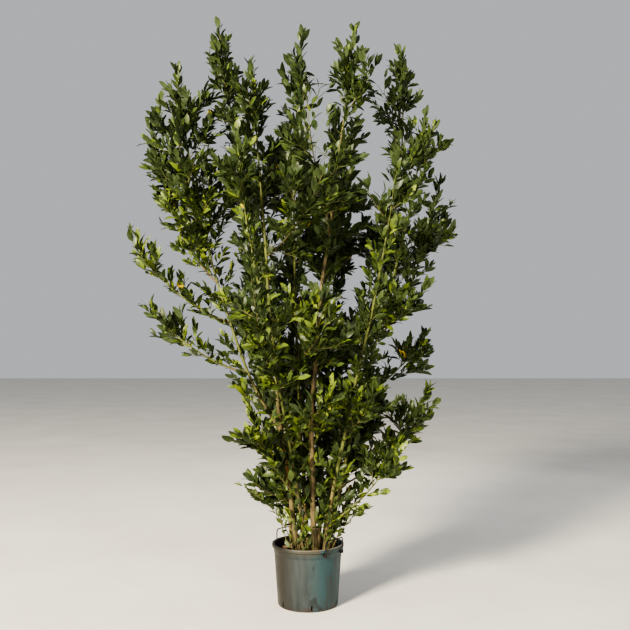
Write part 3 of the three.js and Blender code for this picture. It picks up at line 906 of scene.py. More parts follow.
class Greenery:
    """The stems and the leaves of one side of the crown, gathered before they are joined."""

    def __init__(self, seed):
        self.random = np.random.default_rng(seed)
        self.stems = []
        self.leaves = []

    def pick_tint(self, place):
        """Sprays low at the outside of the crown are fresher than those inside it or high up. The darker
        tints inside are partly painted shade and partly older leaves, those high up are painted shade, and
        the fresher ones low down are painted light.
        """
        share = min(1, float(outline_share(place[None])[0]))
        # Painted shade: darker tints higher up.
        share *= 1 - PAINTED_SHADE_HIGH["share"] * ramp(place[2], PAINTED_SHADE_HIGH)
        # Painted light: fresher tints lower down.
        share = min(1, share + PAINTED_LIGHT_LOW["share"] * ramp(place[2], PAINTED_LIGHT_LOW))
        weights = lerp(np.array(INNER_TINTS), np.array(OUTER_TINTS), share)
        tint = int(self.random.choice(len(TINTS), p=weights / weights.sum()))
        if place[0] < FRESH_TIP["left_of"] and FRESH_TIP["from"] < place[2] < FRESH_TIP["to"]:
            tint = max(tint, TINTS.index("fresh"))
        return tint

    def add_stem(self, curve, end, kind, young=False):
        """The wood of a stem, up to this share of its curve."""
        count = max(STEM["fewest"], round(curve.length() * end / STEM["ring"]))
        radii = np.linspace(kind["thick"], kind["tip_thick"], count)
        self.stems.append((curve.at(np.linspace(0, end, count)), radii, young))

    def add_leaves(self, curve, shares, turn, size, tint, angles=LEAF_ANGLES):
        """Leaves up a stem, each a golden turn on from the last, and closer to it towards the tip."""
        random = self.random
        count = len(shares)
        turns = turn + GOLDEN_TURN * np.arange(count) + random.normal(*LEAF_DRAWS["turn"], count)
        spread = lerp(angles["low"], angles["tip"], shares)
        spread = spread + random.normal(0, angles["spread"], count)
        along = branch_direction(curve.heading(shares), turns, spread)
        along = unit(along + UP * random.normal(*LEAF_DRAWS["rise"], (count, 1)))
        lengths = random.normal(LEAF["length"], LEAF["spread"], count)
        lengths = np.clip(lengths, LEAF["shortest"], LEAF["longest"])
        lots = random.uniform(0, 1, count)
        tints = tint - (lots < ODD_LEAVES["darker"]) + (lots > 1 - ODD_LEAVES["lighter"])
        tints = np.clip(tints, 0, TINTS.index("young"))
        tints[random.uniform(0, 1, count) < ODD_LEAVES["yellow"]] = TINTS.index("yellow")
        self.leaves.extend(zip(curve.at(shares), along, lengths * size, tints))

    def add_sprig(self, root, along, length, share=1):
        """A leafy side stem that is as long, with its leaves, as the large leaf that it stands for."""
        random = self.random
        size = 1 if share == 1 else AIRY_SIZE
        stem = length * SPRIG["stem"]
        rise = random.uniform(*SPRIG["rise"])
        bend = root + along * stem * SPRIG["bend"]
        curve = Bezier(root, bend, root + (along * SPRIG["out"] + UP * rise) * stem)
        self.add_stem(curve, SPRIG["wood"], SPRIG, young=True)
        count = max(SPRIG["fewest"], round(stem * share / SPRIG["step"]))
        tint = self.pick_tint(root + along * length)
        turn = random.uniform(0, math.tau)
        shares = (np.arange(count) + random.uniform(*SPRIG["first"])) / count
        shares = np.clip(shares, 0, SPRIG["last"])
        self.add_leaves(curve, shares, turn, random.uniform(*SPRIG["sizes"]) * size, tint)
        turn += SPRIG["tuft_turn"]
        self.add_leaves(curve, SPRIG["tuft"], turn, SPRIG["tuft_size"] * size, tint, LAST_ANGLES)

    def dress(self, kind, curve, start, last, leaf_count, sprig_count, share):
        """A stem's own leaves, its tuft, and the sprigs from its sides. It starts at a share of its curve."""
        random = self.random
        size = kind["size"] if share == 1 else AIRY_SIZE
        tint = self.pick_tint(curve.at(1.0))
        turn = random.uniform(0, math.tau)
        first = lerp(start, 1, kind["leaves_from"])
        self.add_leaves(curve, np.linspace(first, last, leaf_count), turn, size, tint)
        if kind["fresh_tuft"]:
            tint = min(tint + 1, TINTS.index("fresh"))
        turn += kind["tuft_turn"]
        self.add_leaves(curve, last - kind["tuft"], turn, kind["tuft_size"], tint, LAST_ANGLES)
        for place in lerp(start, 1, random.uniform(*kind["sprig_places"], sprig_count)):
            turn = random.uniform(0, math.tau)
            along = branch_direction(curve.heading(place), turn, random.uniform(*kind["sprig_angles"]))
            self.add_sprig(curve.at(place), along, random.uniform(*kind["sprig_lengths"]), share)

    def add_twig(self, twig, share):
        """A twig with its wood carried on to its tip."""
        last = 1 - LAST_LEAF / twig.length
        self.add_stem(twig.curve, last, TWIG_STEM)
        leafy = twig.length * (last - TWIG_STEM["leaves_from"])
        leaf_count = max(TWIG_STEM["fewest"], round(leafy * share / TWIG_STEM["step"]))
        sprig_count = round(TWIG_STEM["sprigs"] * share)
        self.dress(TWIG_STEM, twig.curve, 0, last, leaf_count, sprig_count, share)

    def add_mass(self, mass):
        """All twigs and leaves round one stem. A leading shoot's wood is the limb's own."""
        last = 1 - LAST_LEAF / mass.curve.length()
        share = AIRY.get(mass.limb.name, 1)
        tip = mass.curve.at(1.0)
        if mass.start == 0:
            self.add_stem(mass.curve, last, MASS_STEM)
        for twig in mass.twigs:
            self.add_twig(twig, share)
        for sprig in mass.leaves:
            length = sprig.length
            if mass.start > 0:
                gap = np.linalg.norm(sprig.root - tip) / SPIRE["stretch"]
                length *= lerp(SPIRE["share"], 1, min(1, gap))
            self.add_sprig(sprig.root, sprig.along, length, share)
        leafy = mass.length * (1 - MASS_STEM["leaves_from"])
        leaf_count = round(leafy * share / MASS_STEM["step"])
        sprig_count = round(mass.length * share / MASS_STEM["sprig_step"])
        self.dress(MASS_STEM, mass.curve, mass.start, last, leaf_count, sprig_count, share)

    def add_spurs(self, limb):
        """Short leafy shoots up a cane or bough, from above its bare foot."""
        random = self.random
        first = SPURS["cane_from"] if limb.parent is None else SPURS["bough_from"]
        high = SPURS["long_high"] if limb.name in LONG_SPURS else SPURS["high"]
        count = round(limb.length * (limb.solid - first) / SPURS["step"])
        for k in range(count):
            share = lerp(first, limb.solid, (k + random.uniform(*SPURS["places"])) / count)
            turn = k * GOLDEN_TURN + random.uniform(*SPURS["turns"])
            along = branch_direction(limb.curve.heading(share), turn, random.uniform(*SPURS["angles"]))
            length = random.uniform(*SPURS["lengths"]) * lerp(SPURS["low"], high, share)
            self.add_sprig(limb.curve.at(share), along, length)

    def add_low_shoot(self, foot, bend, tip):
        curve = Bezier((*foot, SOIL_LEVEL), bend, tip)
        first, last = LOW_SHOOT["leaves_from"], LOW_SHOOT["wood"]
        self.add_stem(curve, last, LOW_SHOOT)
        count = round(curve.length() * (1 - first) / LOW_SHOOT["step"])
        turn = self.random.uniform(*LOW_SHOOT["turns"])
        mid, fresh = TINTS.index("mid"), TINTS.index("fresh")
        self.add_leaves(curve, np.linspace(first, last, count), turn, LOW_SHOOT["size"], mid)
        self.add_leaves(curve, LOW_SHOOT["tuft"], LOW_SHOOT["tuft_turn"], LOW_SHOOT["tuft_size"], fresh)


# Meshes


def new_object(name, mesh):
    piece = bpy.data.objects.new(name, mesh)
    bpy.context.scene.collection.objects.link(piece)
    return piece


def add_attribute(mesh, name, kind, values, domain="POINT"):
    mesh.attributes.new(name, kind, domain).data.foreach_set("value", values)


def triangle_mesh(name, points, triangles, materials, material_index=None):
    """A smooth mesh in metres, from points in millimetres."""
    mesh = bpy.data.meshes.new(name)
    mesh.vertices.add(len(points))
    mesh.vertices.foreach_set("co", (points * MM).astype(np.float32).ravel())
    mesh.loops.add(triangles.size)
    mesh.loops.foreach_set("vertex_index", triangles.astype(np.int32).ravel())
    mesh.polygons.add(len(triangles))
    mesh.polygons.foreach_set("loop_start", np.arange(0, triangles.size, 3, dtype=np.int32))
    if material_index is not None:
        mesh.polygons.foreach_set("material_index", material_index.astype(np.int32))
    mesh.update(calc_edges=True)
    mesh.shade_smooth()
    for material in materials:
        mesh.materials.append(material)
    return mesh


def ring_triangles(rows, sides):
    """Triangles between rows of points round a body, and fans onto two last points that close its ends."""
    row = np.arange(rows - 1)[:, None] * sides
    here = np.arange(sides)
    there = (here + 1) % sides
    low, low_next, high, high_next = row + here, row + there, row + sides + here, row + sides + there
    foot = np.stack([np.full(sides, rows * sides), there, here], axis=1)
    last = (rows - 1) * sides
    tip = np.stack([np.full(sides, rows * sides + 1), last + here, last + there], axis=1)
    lower = np.stack([low, low_next, high_next], axis=2).reshape(-1, 3)
    upper = np.stack([low, high_next, high], axis=2).reshape(-1, 3)
    return np.concatenate([lower, upper, foot, tip])


# Each place along a leaf has four points, and its root and its tip are one point each.
LEFT, TOP, RIGHT, BOTTOM = range(4)
ROUND = 4


def leaf_point(station, side):
    """The number of one of a leaf's points. Its root is 0, and its tip comes last."""
    return 1 + ROUND * station + side


def leaf_triangles():
    """The triangles of one leaf, whether each lies underneath, and which of its points are on its rim."""
    last = len(LEAF_SHARES) - 1
    tip = leaf_point(last + 1, 0)
    triangles = []
    under = []
    for first, second, below in ((LEFT, TOP, 0), (TOP, RIGHT, 0), (RIGHT, BOTTOM, 1), (BOTTOM, LEFT, 1)):
        triangles.append((0, leaf_point(0, second), leaf_point(0, first)))
        for i in range(last):
            low, low_next = leaf_point(i, first), leaf_point(i, second)
            high, high_next = leaf_point(i + 1, first), leaf_point(i + 1, second)
            triangles.append((low, low_next, high_next))
            triangles.append((low, high_next, high))
        triangles.append((tip, leaf_point(last, first), leaf_point(last, second)))
        under += [below] * (2 * last + 2)
    rim = np.zeros(tip + 1, bool)
    rim[[0, tip]] = True
    rim[leaf_point(0, LEFT)::ROUND] = True
    rim[leaf_point(0, RIGHT)::ROUND] = True
    return np.array(triangles), np.array(under), rim


LEAF_TRIANGLES, LEAF_UNDER, LEAF_RIM = leaf_triangles()
# The points of a leaf that stand for it where it has to keep clear: two on its midrib, and its tip.
LEAF_CHECKS = [leaf_point(1, TOP), leaf_point(3, TOP), -1]


def leaf_points(leaves, random):
    """The points of every leaf: a folded blade with wavy rims, that arches up and curls down at its tip."""
    root, along, length = (np.array([leaf[k] for leaf in leaves]) for k in range(3))
    count = len(root)
    length = length[:, None]
    outside = root * (1, 1, 0) / np.linalg.norm(root[:, :2], axis=1, keepdims=True)
    light = UP * LEAF_LIGHT["up"] + outside * LEAF_LIGHT["outside"] + FRONT * LEAF_LIGHT["front"]
    light = light + random.normal(0, LEAF_LIGHT["spread"], (count, 3))
    across = unit(np.cross(along, light))
    face = np.cross(across, along)
    width = length * LEAF["slender"] * random.normal(*LEAF_DRAWS["width"], (count, 1))
    fold = random.uniform(*LEAF_FOLD, (count, 1))
    curl = random.normal(*LEAF_DRAWS["curl"], (count, 1))
    sweep = random.normal(*LEAF_DRAWS["sweep"], (count, 1))
    phase = random.uniform(0, math.tau, (2, count, 1))
    points = [root]
    for share, wide in zip(LEAF_SHARES, LEAF_WIDTHS):
        rise = LEAF_ARCH * math.sin(math.pi * share) - curl * share**2
        centre = root + along * length * share + face * length * rise + across * length * sweep * share**2
        half = width * wide / 2
        waves = [np.sin(LEAF_WAVE["waves"] * share + turn) for turn in phase]
        left, right = (half * fold + width * LEAF_WAVE["depth"] * wide * wave for wave in waves)
        points.append(centre - across * half + face * left)
        points.append(centre + face * LEAF["thick"])
        points.append(centre + across * half + face * right)
        points.append(centre - face * LEAF["thick"])
    points.append(root + along * length * LEAF_TIP - face * length * curl + across * length * sweep)
    return np.stack(points, axis=1)


def join_leaves(name, points, tints, materials):
    """One mesh of all the leaves, with a sharp rim. The last material is the underside's."""
    count, each, _ = points.shape
    offsets = np.arange(count)[:, None, None] * each
    triangles = (LEAF_TRIANGLES[None] + offsets).reshape(-1, 3)
    tint = np.where(LEAF_UNDER[None] == 1, len(materials) - 1, tints[:, None]).ravel()
    mesh = triangle_mesh(name, points.reshape(-1, 3), triangles, materials, tint)
    ends = np.empty(len(mesh.edges) * 2, np.int32)
    mesh.edges.foreach_get("vertices", ends)
    sharp = LEAF_RIM[ends.reshape(-1, 2) % each].all(axis=1)
    add_attribute(mesh, "sharp_edge", "BOOLEAN", sharp, domain="EDGE")
    return mesh


def keep_leaves(points, limbs):
    """Which leaves stay inside the frame's box and off the canes and boughs."""
    low, high = (np.array(corner) / MM for corner in cad_box)
    inside = ((points > low - PAST_BOX) & (points < high + PAST_BOX)).all(axis=(1, 2))
    shares = np.linspace(0, 1, LIMB_SAMPLES)
    paths = [limb.curve.at(shares) for limb in limbs]
    starts = np.concatenate([path[:-1] for path in paths])
    ends = np.concatenate([path[1:] for path in paths])
    radii = np.concatenate([limb.radius(shares[:-1]) for limb in limbs])
    clear = np.ones(len(points), bool)
    for check in LEAF_CHECKS:
        clear &= (segment_distances(points[:, check], starts, ends) - radii).min(axis=1) > OFF_BARK
    return inside & clear


def seen_from_front(points):
    """Where the viewer sees each point against the upright plane through the middle of the pot."""
    viewer = np.array(CAMERA["place"]) / MM
    way = points - viewer
    return viewer + way * (-viewer[1] / way[..., 1:2])


def hides_limb(points, limbs):
    """Which leaves stand before a stretch of limb that shows bare at the front."""
    hides = np.zeros(len(points), bool)
    for limb in limbs:
        if limb.name not in BARE_FRONT:
            continue
        path = limb.curve.at(np.linspace(*BARE_FRONT[limb.name], BARE_SAMPLES))
        seen = seen_from_front(path)
        for station in LEAF_CHECKS:
            spots = points[:, station]
            gaps = segment_distances(seen_from_front(spots), seen[:-1], seen[1:])
            before = spots[:, 1] < path[gaps.argmin(axis=1), 1]
            hides |= (gaps.min(axis=1) < BARE_WIDTH) & before
    return hides


def closes_gap(points):
    """Which leaves stand in a gap of the crown."""
    closes = np.zeros(len(points), bool)
    seen = seen_from_front(points[:, LEAF_CHECKS])
    for x, z, half_width, half_height in GAPS:
        share = ((seen[..., 0] - x) / half_width) ** 2 + ((seen[..., 2] - z) / half_height) ** 2
        closes |= (share < 1).any(axis=1)
    return closes


# Geometry node trees


def add_node(tree, kind, inputs=None, **settings):
    """A node with its settings, and each input set to a value or linked to another node's output."""
    node = tree.nodes.new(kind)
    for key, value in settings.items():
        setattr(node, key, value)
    for key, value in (inputs or {}).items():
        if isinstance(value, bpy.types.NodeSocket):
            tree.links.new(value, node.inputs[key])
        else:
            node.inputs[key].default_value = value
    return node


def new_tree(name, sockets):
    tree = bpy.data.node_groups.new(name, "GeometryNodeTree")
    tree.interface.new_socket("Geometry", in_out="INPUT", socket_type="NodeSocketGeometry")
    for socket_name, kind in sockets.items():
        tree.interface.new_socket(socket_name, in_out="INPUT", socket_type=kind)
    tree.interface.new_socket("Geometry", in_out="OUTPUT", socket_type="NodeSocketGeometry")
    return tree, add_node(tree, "NodeGroupInput").outputs


def end_tree(tree, geometry, material, other=None):
    """Ends a tree in Realize Instances and Set Material. Another material goes on what is young."""
    realized = add_node(tree, "GeometryNodeRealizeInstances", {"Geometry": geometry})
    last = add_node(tree, "GeometryNodeSetMaterial", {"Geometry": realized.outputs[0], "Material": material})
    if other is not None:
        chosen = add_node(tree, "GeometryNodeInputNamedAttribute", {"Name": "young"}, data_type="BOOLEAN")
        inputs = {"Geometry": last.outputs[0], "Selection": chosen.outputs[0], "Material": other}
        last = add_node(tree, "GeometryNodeSetMaterial", inputs)
    add_node(tree, "NodeGroupOutput", {"Geometry": last.outputs[0]})


def tube_tree():
    """Tubes along the edges of a mesh, as thick as its radius attribute says."""
    sockets = {"Sides": "NodeSocketInt", "Old wood": "NodeSocketMaterial", "Young wood": "NodeSocketMaterial"}
    tree, given = new_tree("Tubes along paths", sockets)
    paths = add_node(tree, "GeometryNodeMeshToCurve", {"Mesh": given["Geometry"]})
    radius = add_node(tree, "GeometryNodeInputNamedAttribute", {"Name": "radius"}, data_type="FLOAT")
    profile = add_node(tree, "GeometryNodeCurvePrimitiveCircle", {"Resolution": given["Sides"], "Radius": 1})
    inputs = {
        "Curve": paths.outputs[0],
        "Profile Curve": profile.outputs[0],
        "Scale": radius.outputs[0],
        "Fill Caps": True,
    }
    tubes = add_node(tree, "GeometryNodeCurveToMesh", inputs)
    smooth = add_node(tree, "GeometryNodeSetShadeSmooth", {"Geometry": tubes.outputs[0]})
    end_tree(tree, smooth.outputs[0], given["Old wood"], given["Young wood"])
    return tree


def crumb_tree():
    """Small lumps scattered over the part of a mesh that lies above a lowest height."""
    sockets = {
        "Lowest": "NodeSocketFloat",
        "Spacing": "NodeSocketFloat",
        "Smallest": "NodeSocketFloat",
        "Largest": "NodeSocketFloat",
        "Seed": "NodeSocketInt",
        "Material": "NodeSocketMaterial",
    }
    tree, given = new_tree("Crumbs on compost", sockets)
    inputs = {
        "Mesh": given["Geometry"],
        "Distance Min": given["Spacing"],
        "Density Max": CRUMBS["density"],
        "Seed": given["Seed"],
    }
    spread = add_node(tree, "GeometryNodeDistributePointsOnFaces", inputs, distribute_method="POISSON")
    place = add_node(tree, "GeometryNodeInputPosition")
    height = add_node(tree, "ShaderNodeSeparateXYZ", {"Vector": place.outputs[0]})
    inputs = {0: height.outputs["Z"], 1: given["Lowest"]}
    too_low = add_node(tree, "ShaderNodeMath", inputs, operation="LESS_THAN")
    inputs = {"Geometry": spread.outputs["Points"], "Selection": too_low.outputs[0]}
    points = add_node(tree, "GeometryNodeDeleteGeometry", inputs, domain="POINT")
    ball = add_node(tree, "GeometryNodeMeshIcoSphere", {"Radius": 1.0, "Subdivisions": 2})
    lumps = add_node(tree, "ShaderNodeTexNoise", {"Scale": CRUMBS["lumps"]})
    inputs = {0: lumps.outputs["Color"], 1: (0.5, 0.5, 0.5)}
    centred = add_node(tree, "ShaderNodeVectorMath", inputs, operation="SUBTRACT")
    inputs = {"Geometry": ball.outputs[0], "Offset": centred.outputs[0]}
    lumpy = add_node(tree, "GeometryNodeSetPosition", inputs)
    inputs = {0: (0, 0, 0), 1: (CRUMBS["turn"],) * 3}
    turn = add_node(tree, "FunctionNodeRandomValue", inputs, data_type="FLOAT_VECTOR")
    inputs = {2: given["Smallest"], 3: given["Largest"]}
    size = add_node(tree, "FunctionNodeRandomValue", inputs, data_type="FLOAT")
    inputs = {
        "Points": points.outputs[0],
        "Instance": lumpy.outputs[0],
        "Rotation": turn.outputs[0],
        "Scale": size.outputs[1],
    }
    crumbs = add_node(tree, "GeometryNodeInstanceOnPoints", inputs)
    end_tree(tree, crumbs.outputs[0], given["Material"])
    return tree


def run_tree(name, source, tree, values):
    """Runs a tree over an object, and gives its result as a plain object."""
    modifier = source.modifiers.new("nodes", "NODES")
    modifier.node_group = tree
    for item in tree.interface.items_tree:
        if item.in_out == "INPUT" and item.name in values:
            modifier[item.identifier] = values[item.name]
    source.update_tag()
    evaluated = source.evaluated_get(bpy.context.evaluated_depsgraph_get())
    mesh = bpy.data.meshes.new_from_object(evaluated)
    source.modifiers.remove(modifier)
    mesh.name = name
    return new_object(name, mesh)


def tubes_along(name, stems, sides, tree, old, young):
    """One joined piece of tubes, from stems given as points, radii and whether the wood is young."""
    counts = [len(points) for points, _, _ in stems]
    mesh = bpy.data.meshes.new(name)
    mesh.vertices.add(sum(counts))
    mesh.vertices.foreach_set("co", (np.concatenate([points for points, _, _ in stems]) * MM).ravel())
    first = np.cumsum([0] + counts[:-1])
    links = np.concatenate([np.arange(start, start + count - 1) for start, count in zip(first, counts)])
    mesh.edges.add(len(links))
    mesh.edges.foreach_set("vertices", np.stack([links, links + 1], axis=1).astype(np.int32).ravel())
    add_attribute(mesh, "radius", "FLOAT", np.concatenate([radii for _, radii, _ in stems]) * MM)
    is_young = np.concatenate([np.full(count, stem[2]) for count, stem in zip(counts, stems)])
    add_attribute(mesh, "young", "BOOLEAN", is_young)
    source = new_object(name + "_paths", mesh)
    piece = run_tree(name, source, tree, {"Sides": sides, "Old wood": old, "Young wood": young})
    bpy.data.objects.remove(source)
    return piece


# Materials

# Colours are linear red, green and blue.
LEAF_COLOURS = {
    "deep": (0.016, 0.027, 0.007),
    "mid": (0.036, 0.054, 0.012),
    "fresh": (0.072, 0.103, 0.014),
    "young": (0.118, 0.154, 0.018),
    "yellow": (0.340, 0.240, 0.012),
}
LEAF_FINISH = {"roughness": 0.4, "specular": 0.2}
UNDERSIDE_COLOUR = (0.028, 0.043, 0.013)
UNDERSIDE_FINISH = {"roughness": 0.6, "specular": 0.2}
TWIG_COLOURS = {"brown": (0.070, 0.062, 0.018), "green": (0.090, 0.120, 0.018)}
LITTER_COLOURS = {
    "red": (0.075, 0.018, 0.008),
    "brown": (0.040, 0.019, 0.009),
    "straw": (0.080, 0.046, 0.020),
}
# Noise is given as its waves in a metre along x, y and z, its detail and its roughness. A span is where a
# pattern starts to show and where it shows in full. A bump is its strength and its height in metres.
MOTTLED = {
    "handle_wire": {
        "roughness": 0.5,
        "specular": 0.25,
        "noise": ((90, 90, 90), 5, 0.55),
        "span": (0.5, 0.7),
        "colours": ((0.004, 0.004, 0.004), (0.014, 0.010, 0.007)),
        "bump": (0.3, 0.0005),
    },
    "compost": {
        "roughness": 0.95,
        "specular": 0.2,
        "noise": ((55, 55, 55), 6, 0.7),
        "span": (0.35, 0.68),
        "colours": ((0.006, 0.004, 0.003), (0.030, 0.015, 0.008)),
        "bump": (0.8, 0.003),
    },
    "floor": {
        "roughness": 0.85,
        "specular": 0.3,
        "noise": ((1.2, 1.2, 1.2), 5, 0.55),
        "span": (0.3, 0.7),
        "colours": ((0.600, 0.585, 0.550), (0.680, 0.665, 0.630)),
    },
}
BARK_FINISH = {
    "streaks": ((60, 60, 9), 6, 0.6),
    "blotches": ((14, 14, 5), 3, 0.55),
    "pores": (150, 150, 75),
    "brown": ((0.042, 0.031, 0.010), (0.140, 0.102, 0.036)),
    "brown_span": (0.35, 0.68),
    "olive": ((0.040, 0.052, 0.007), (0.105, 0.120, 0.017)),
    "olive_span": (0.35, 0.7),
    "blotch_depth": 1.2,
    "youth_span": (0.3, 0.7),
    "pore_span": (0.2, 0.08),
    "pore_relief": 0.5,
    "bump": (0.35, 0.001),
}
# The coats over a finish, from the lowest up. Each has the spans of the patterns that it shows in, its
# strength and its colour.
BARK_COATS = {
    "pores": ({"pores": (0, 1)}, 0.55, (0.210, 0.165, 0.080)),
    "stripped wood": ({"stripped": (0, 1), "streaks": (0.2, 0.5)}, 1, (0.300, 0.130, 0.030)),
}
POT_NOISE = {
    "clouds": ((9, 9, 6), 5, 0.6),
    "runs": ((38, 38, 3.2), 5, 0.6),
    "grain": ((320, 320, 320), 3, 0.55),
    "marks": ((19, 19, 15), 3, 0.55),
    "patches": ((24, 24, 24), 5, 0.65),
}
POT_FINISH = {
    "plastic": ((0.008, 0.012, 0.014), (0.026, 0.034, 0.037)),
    "plastic_span": (0.3, 0.7),
    "roughness_span": (-0.4, 1.5),
    "cloud_relief": 2,
    "bump": (0.25, 0.0008),
}
POT_COATS = {
    "pale streaks": ({"runs": (0.42, 0.62)}, 0.55, (0.036, 0.045, 0.047)),
    "teal wash": ({"runs": (0.38, 0.54), "x": (-0.01, 0.08)}, 0.85, (0.012, 0.043, 0.050)),
    "dark marks": ({"marks": (0.62, 0.69)}, 0.7, (0.007, 0.008, 0.008)),
    "stained foot": ({"z": (0.03, 0.006), "patches": (0.47, 0.58)}, 0.85, (0.026, 0.012, 0.007)),
    "brown band": ({"z": (0.262, 0.28), "clouds": (0.42, 0.6)}, 0.7, (0.042, 0.032, 0.014)),
    # Painted shade: the pot's left side is darker, broken up by the clouds.
    "painted shade on left side": ({"x": (-0.04, -0.13), "clouds": (0.0, 0.4)}, 1, (0.008, 0.0065, 0.004)),
    # Painted highlight: a pale line along the top of the rim, fading out towards the left side.
    "painted rim highlight": ({"z": (0.2952, 0.2976), "x": (-0.13, 0.0)}, 0.75, (0.200, 0.170, 0.120)),
}


def new_material(name, roughness, specular=0.5):
    """A material, its tree and its shader."""
    material = bpy.data.materials.new(name)
    material.use_nodes = True
    tree = material.node_tree
    shader = tree.nodes["Principled BSDF"]
    shader.inputs["Roughness"].default_value = roughness
    shader.inputs["Specular IOR Level"].default_value = specular
    return material, tree, shader


def plain_material(name, colour, roughness, specular=0.5):
    material, _, shader = new_material(name, roughness, specular)
    shader.inputs["Base Color"].default_value = (*colour, 1)
    return material


def object_place(tree):
    return add_node(tree, "ShaderNodeTexCoord").outputs["Object"]


def placed(tree, scale):
    """Object coordinates, scaled."""
    return add_node(tree, "ShaderNodeMapping", {"Vector": object_place(tree), "Scale": scale}).outputs[0]


def noise_at(tree, waves, detail, roughness):
    inputs = {"Vector": placed(tree, waves), "Scale": 1, "Detail": detail, "Roughness": roughness}
    return add_node(tree, "ShaderNodeTexNoise", inputs).outputs["Fac"]


def attribute_of(tree, name):
    return add_node(tree, "ShaderNodeAttribute", attribute_name=name).outputs["Fac"]


def between(tree, value, start, end):
    """0 before the start, 1 past the end, and even between."""
    inputs = {"Value": value, "From Min": start, "From Max": end}
    return add_node(tree, "ShaderNodeMapRange", inputs).outputs[0]


def maths(tree, operation, first, second):
    return add_node(tree, "ShaderNodeMath", {0: first, 1: second}, operation=operation).outputs[0]


def mixed(tree, share, first, second):
    """Two colours mixed by a share. Each is a plain colour or a node's output."""
    node = add_node(tree, "ShaderNodeMix", data_type="RGBA")
    for index, value in ((0, share), (6, first), (7, second)):
        if isinstance(value, bpy.types.NodeSocket):
            tree.links.new(value, node.inputs[index])
        elif index == 0:
            node.inputs[index].default_value = value
        else:
            node.inputs[index].default_value = (*value, 1)
    return node.outputs[2]


def coated(tree, colour, coats, patterns):
    """A colour with coats over it, each of which shows where all of its patterns let it."""
    for spans, strength, coat in coats.values():
        share = strength
        for name, span in spans.items():
            share = maths(tree, "MULTIPLY", between(tree, patterns[name], *span), share)
        colour = mixed(tree, share, colour, coat)
    return colour


def set_bump(tree, shader, height, strength, distance):
    inputs = {"Height": height, "Strength": strength, "Distance": distance}
    bump = add_node(tree, "ShaderNodeBump", inputs)
    tree.links.new(bump.outputs[0], shader.inputs["Normal"])


def mottled_material(name):
    """Two colours mixed by noise, with a bump where the finish has one."""
    finish = MOTTLED[name]
    material, tree, shader = new_material(name, finish["roughness"], finish["specular"])
    spots = noise_at(tree, *finish["noise"])
    colour = mixed(tree, between(tree, spots, *finish["span"]), *finish["colours"])
    tree.links.new(colour, shader.inputs["Base Color"])
    if "bump" in finish:
        set_bump(tree, shader, spots, *finish["bump"])
    return material


def leaf_materials():
    """One plain colour for each tint, and then a dull one for every underside."""
    materials = [plain_material(f"leaf_{name}", LEAF_COLOURS[name], **LEAF_FINISH) for name in TINTS]
    materials.append(plain_material("leaf_underside", UNDERSIDE_COLOUR, **UNDERSIDE_FINISH))
    return materials


def litter_materials():
    """Dry leaves, one plain colour each."""
    colours = LITTER_COLOURS.items()
    return [plain_material(f"fallen_{name}", colour, roughness=0.75) for name, colour in colours]


def bark_material():
    """Ochre-brown on old wood and olive green on young, streaked along the limb and dotted with pores."""
    material, tree, shader = new_material("bark", roughness=0.72)
    streaks = noise_at(tree, *BARK_FINISH["streaks"])
    blotches = maths(tree, "SUBTRACT", noise_at(tree, *BARK_FINISH["blotches"]), 0.5)
    cells = add_node(tree, "ShaderNodeTexVoronoi", {"Vector": placed(tree, BARK_FINISH["pores"]), "Scale": 1})
    pores = between(tree, cells.outputs["Distance"], *BARK_FINISH["pore_span"])
    brown = mixed(tree, between(tree, streaks, *BARK_FINISH["brown_span"]), *BARK_FINISH["brown"])
    olive = mixed(tree, between(tree, streaks, *BARK_FINISH["olive_span"]), *BARK_FINISH["olive"])
    youth = attribute_of(tree, "youth")
    youth = maths(tree, "ADD", youth, maths(tree, "MULTIPLY", blotches, BARK_FINISH["blotch_depth"]))
    colour = mixed(tree, between(tree, youth, *BARK_FINISH["youth_span"]), brown, olive)
    patterns = {"pores": pores, "streaks": streaks, "stripped": attribute_of(tree, "stripped")}
    tree.links.new(coated(tree, colour, BARK_COATS, patterns), shader.inputs["Base Color"])
    height = maths(tree, "ADD", streaks, maths(tree, "MULTIPLY", pores, BARK_FINISH["pore_relief"]))
    set_bump(tree, shader, height, *BARK_FINISH["bump"])
    return material


def pot_material():
    """Dark moulded plastic with pale streaks and a teal wash, stained at the foot, with painted shade over
    its left side and a painted highlight along the top of its rim.
    """
    material, tree, shader = new_material("pot_plastic", roughness=0.6, specular=0.35)
    split = add_node(tree, "ShaderNodeSeparateXYZ", {"Vector": object_place(tree)})
    patterns = {name: noise_at(tree, *noise) for name, noise in POT_NOISE.items()}
    patterns["x"] = split.outputs["X"]
    patterns["z"] = split.outputs["Z"]
    clouds = patterns["clouds"]
    colour = mixed(tree, between(tree, clouds, *POT_FINISH["plastic_span"]), *POT_FINISH["plastic"])
    tree.links.new(coated(tree, colour, POT_COATS, patterns), shader.inputs["Base Color"])
    tree.links.new(between(tree, clouds, *POT_FINISH["roughness_span"]), shader.inputs["Roughness"])
    relief = maths(tree, "MULTIPLY", clouds, POT_FINISH["cloud_relief"])
    set_bump(tree, shader, maths(tree, "ADD", patterns["grain"], relief), *POT_FINISH["bump"])
    return material


# Pot, compost and handles


def body_radius(z):
    """The outside radius of the pot's body, which tapers evenly from under the rim to the foot."""
    return lerp(POT["foot_radius"], POT["neck_radius"], z / (POT["height"] - POT["bead_height"]))


def arc(centre, radius, start, end, steps):
    """Points round part of a circle, at angles in degrees."""
    angles = np.radians(np.linspace(start, end, steps + 1))
    return [(centre[0] + radius * math.cos(a), centre[1] + radius * math.sin(a)) for a in angles]


def straight(start, end, steps):
    return [tuple(lerp(np.array(start), np.array(end), i / steps)) for i in range(1, steps)]


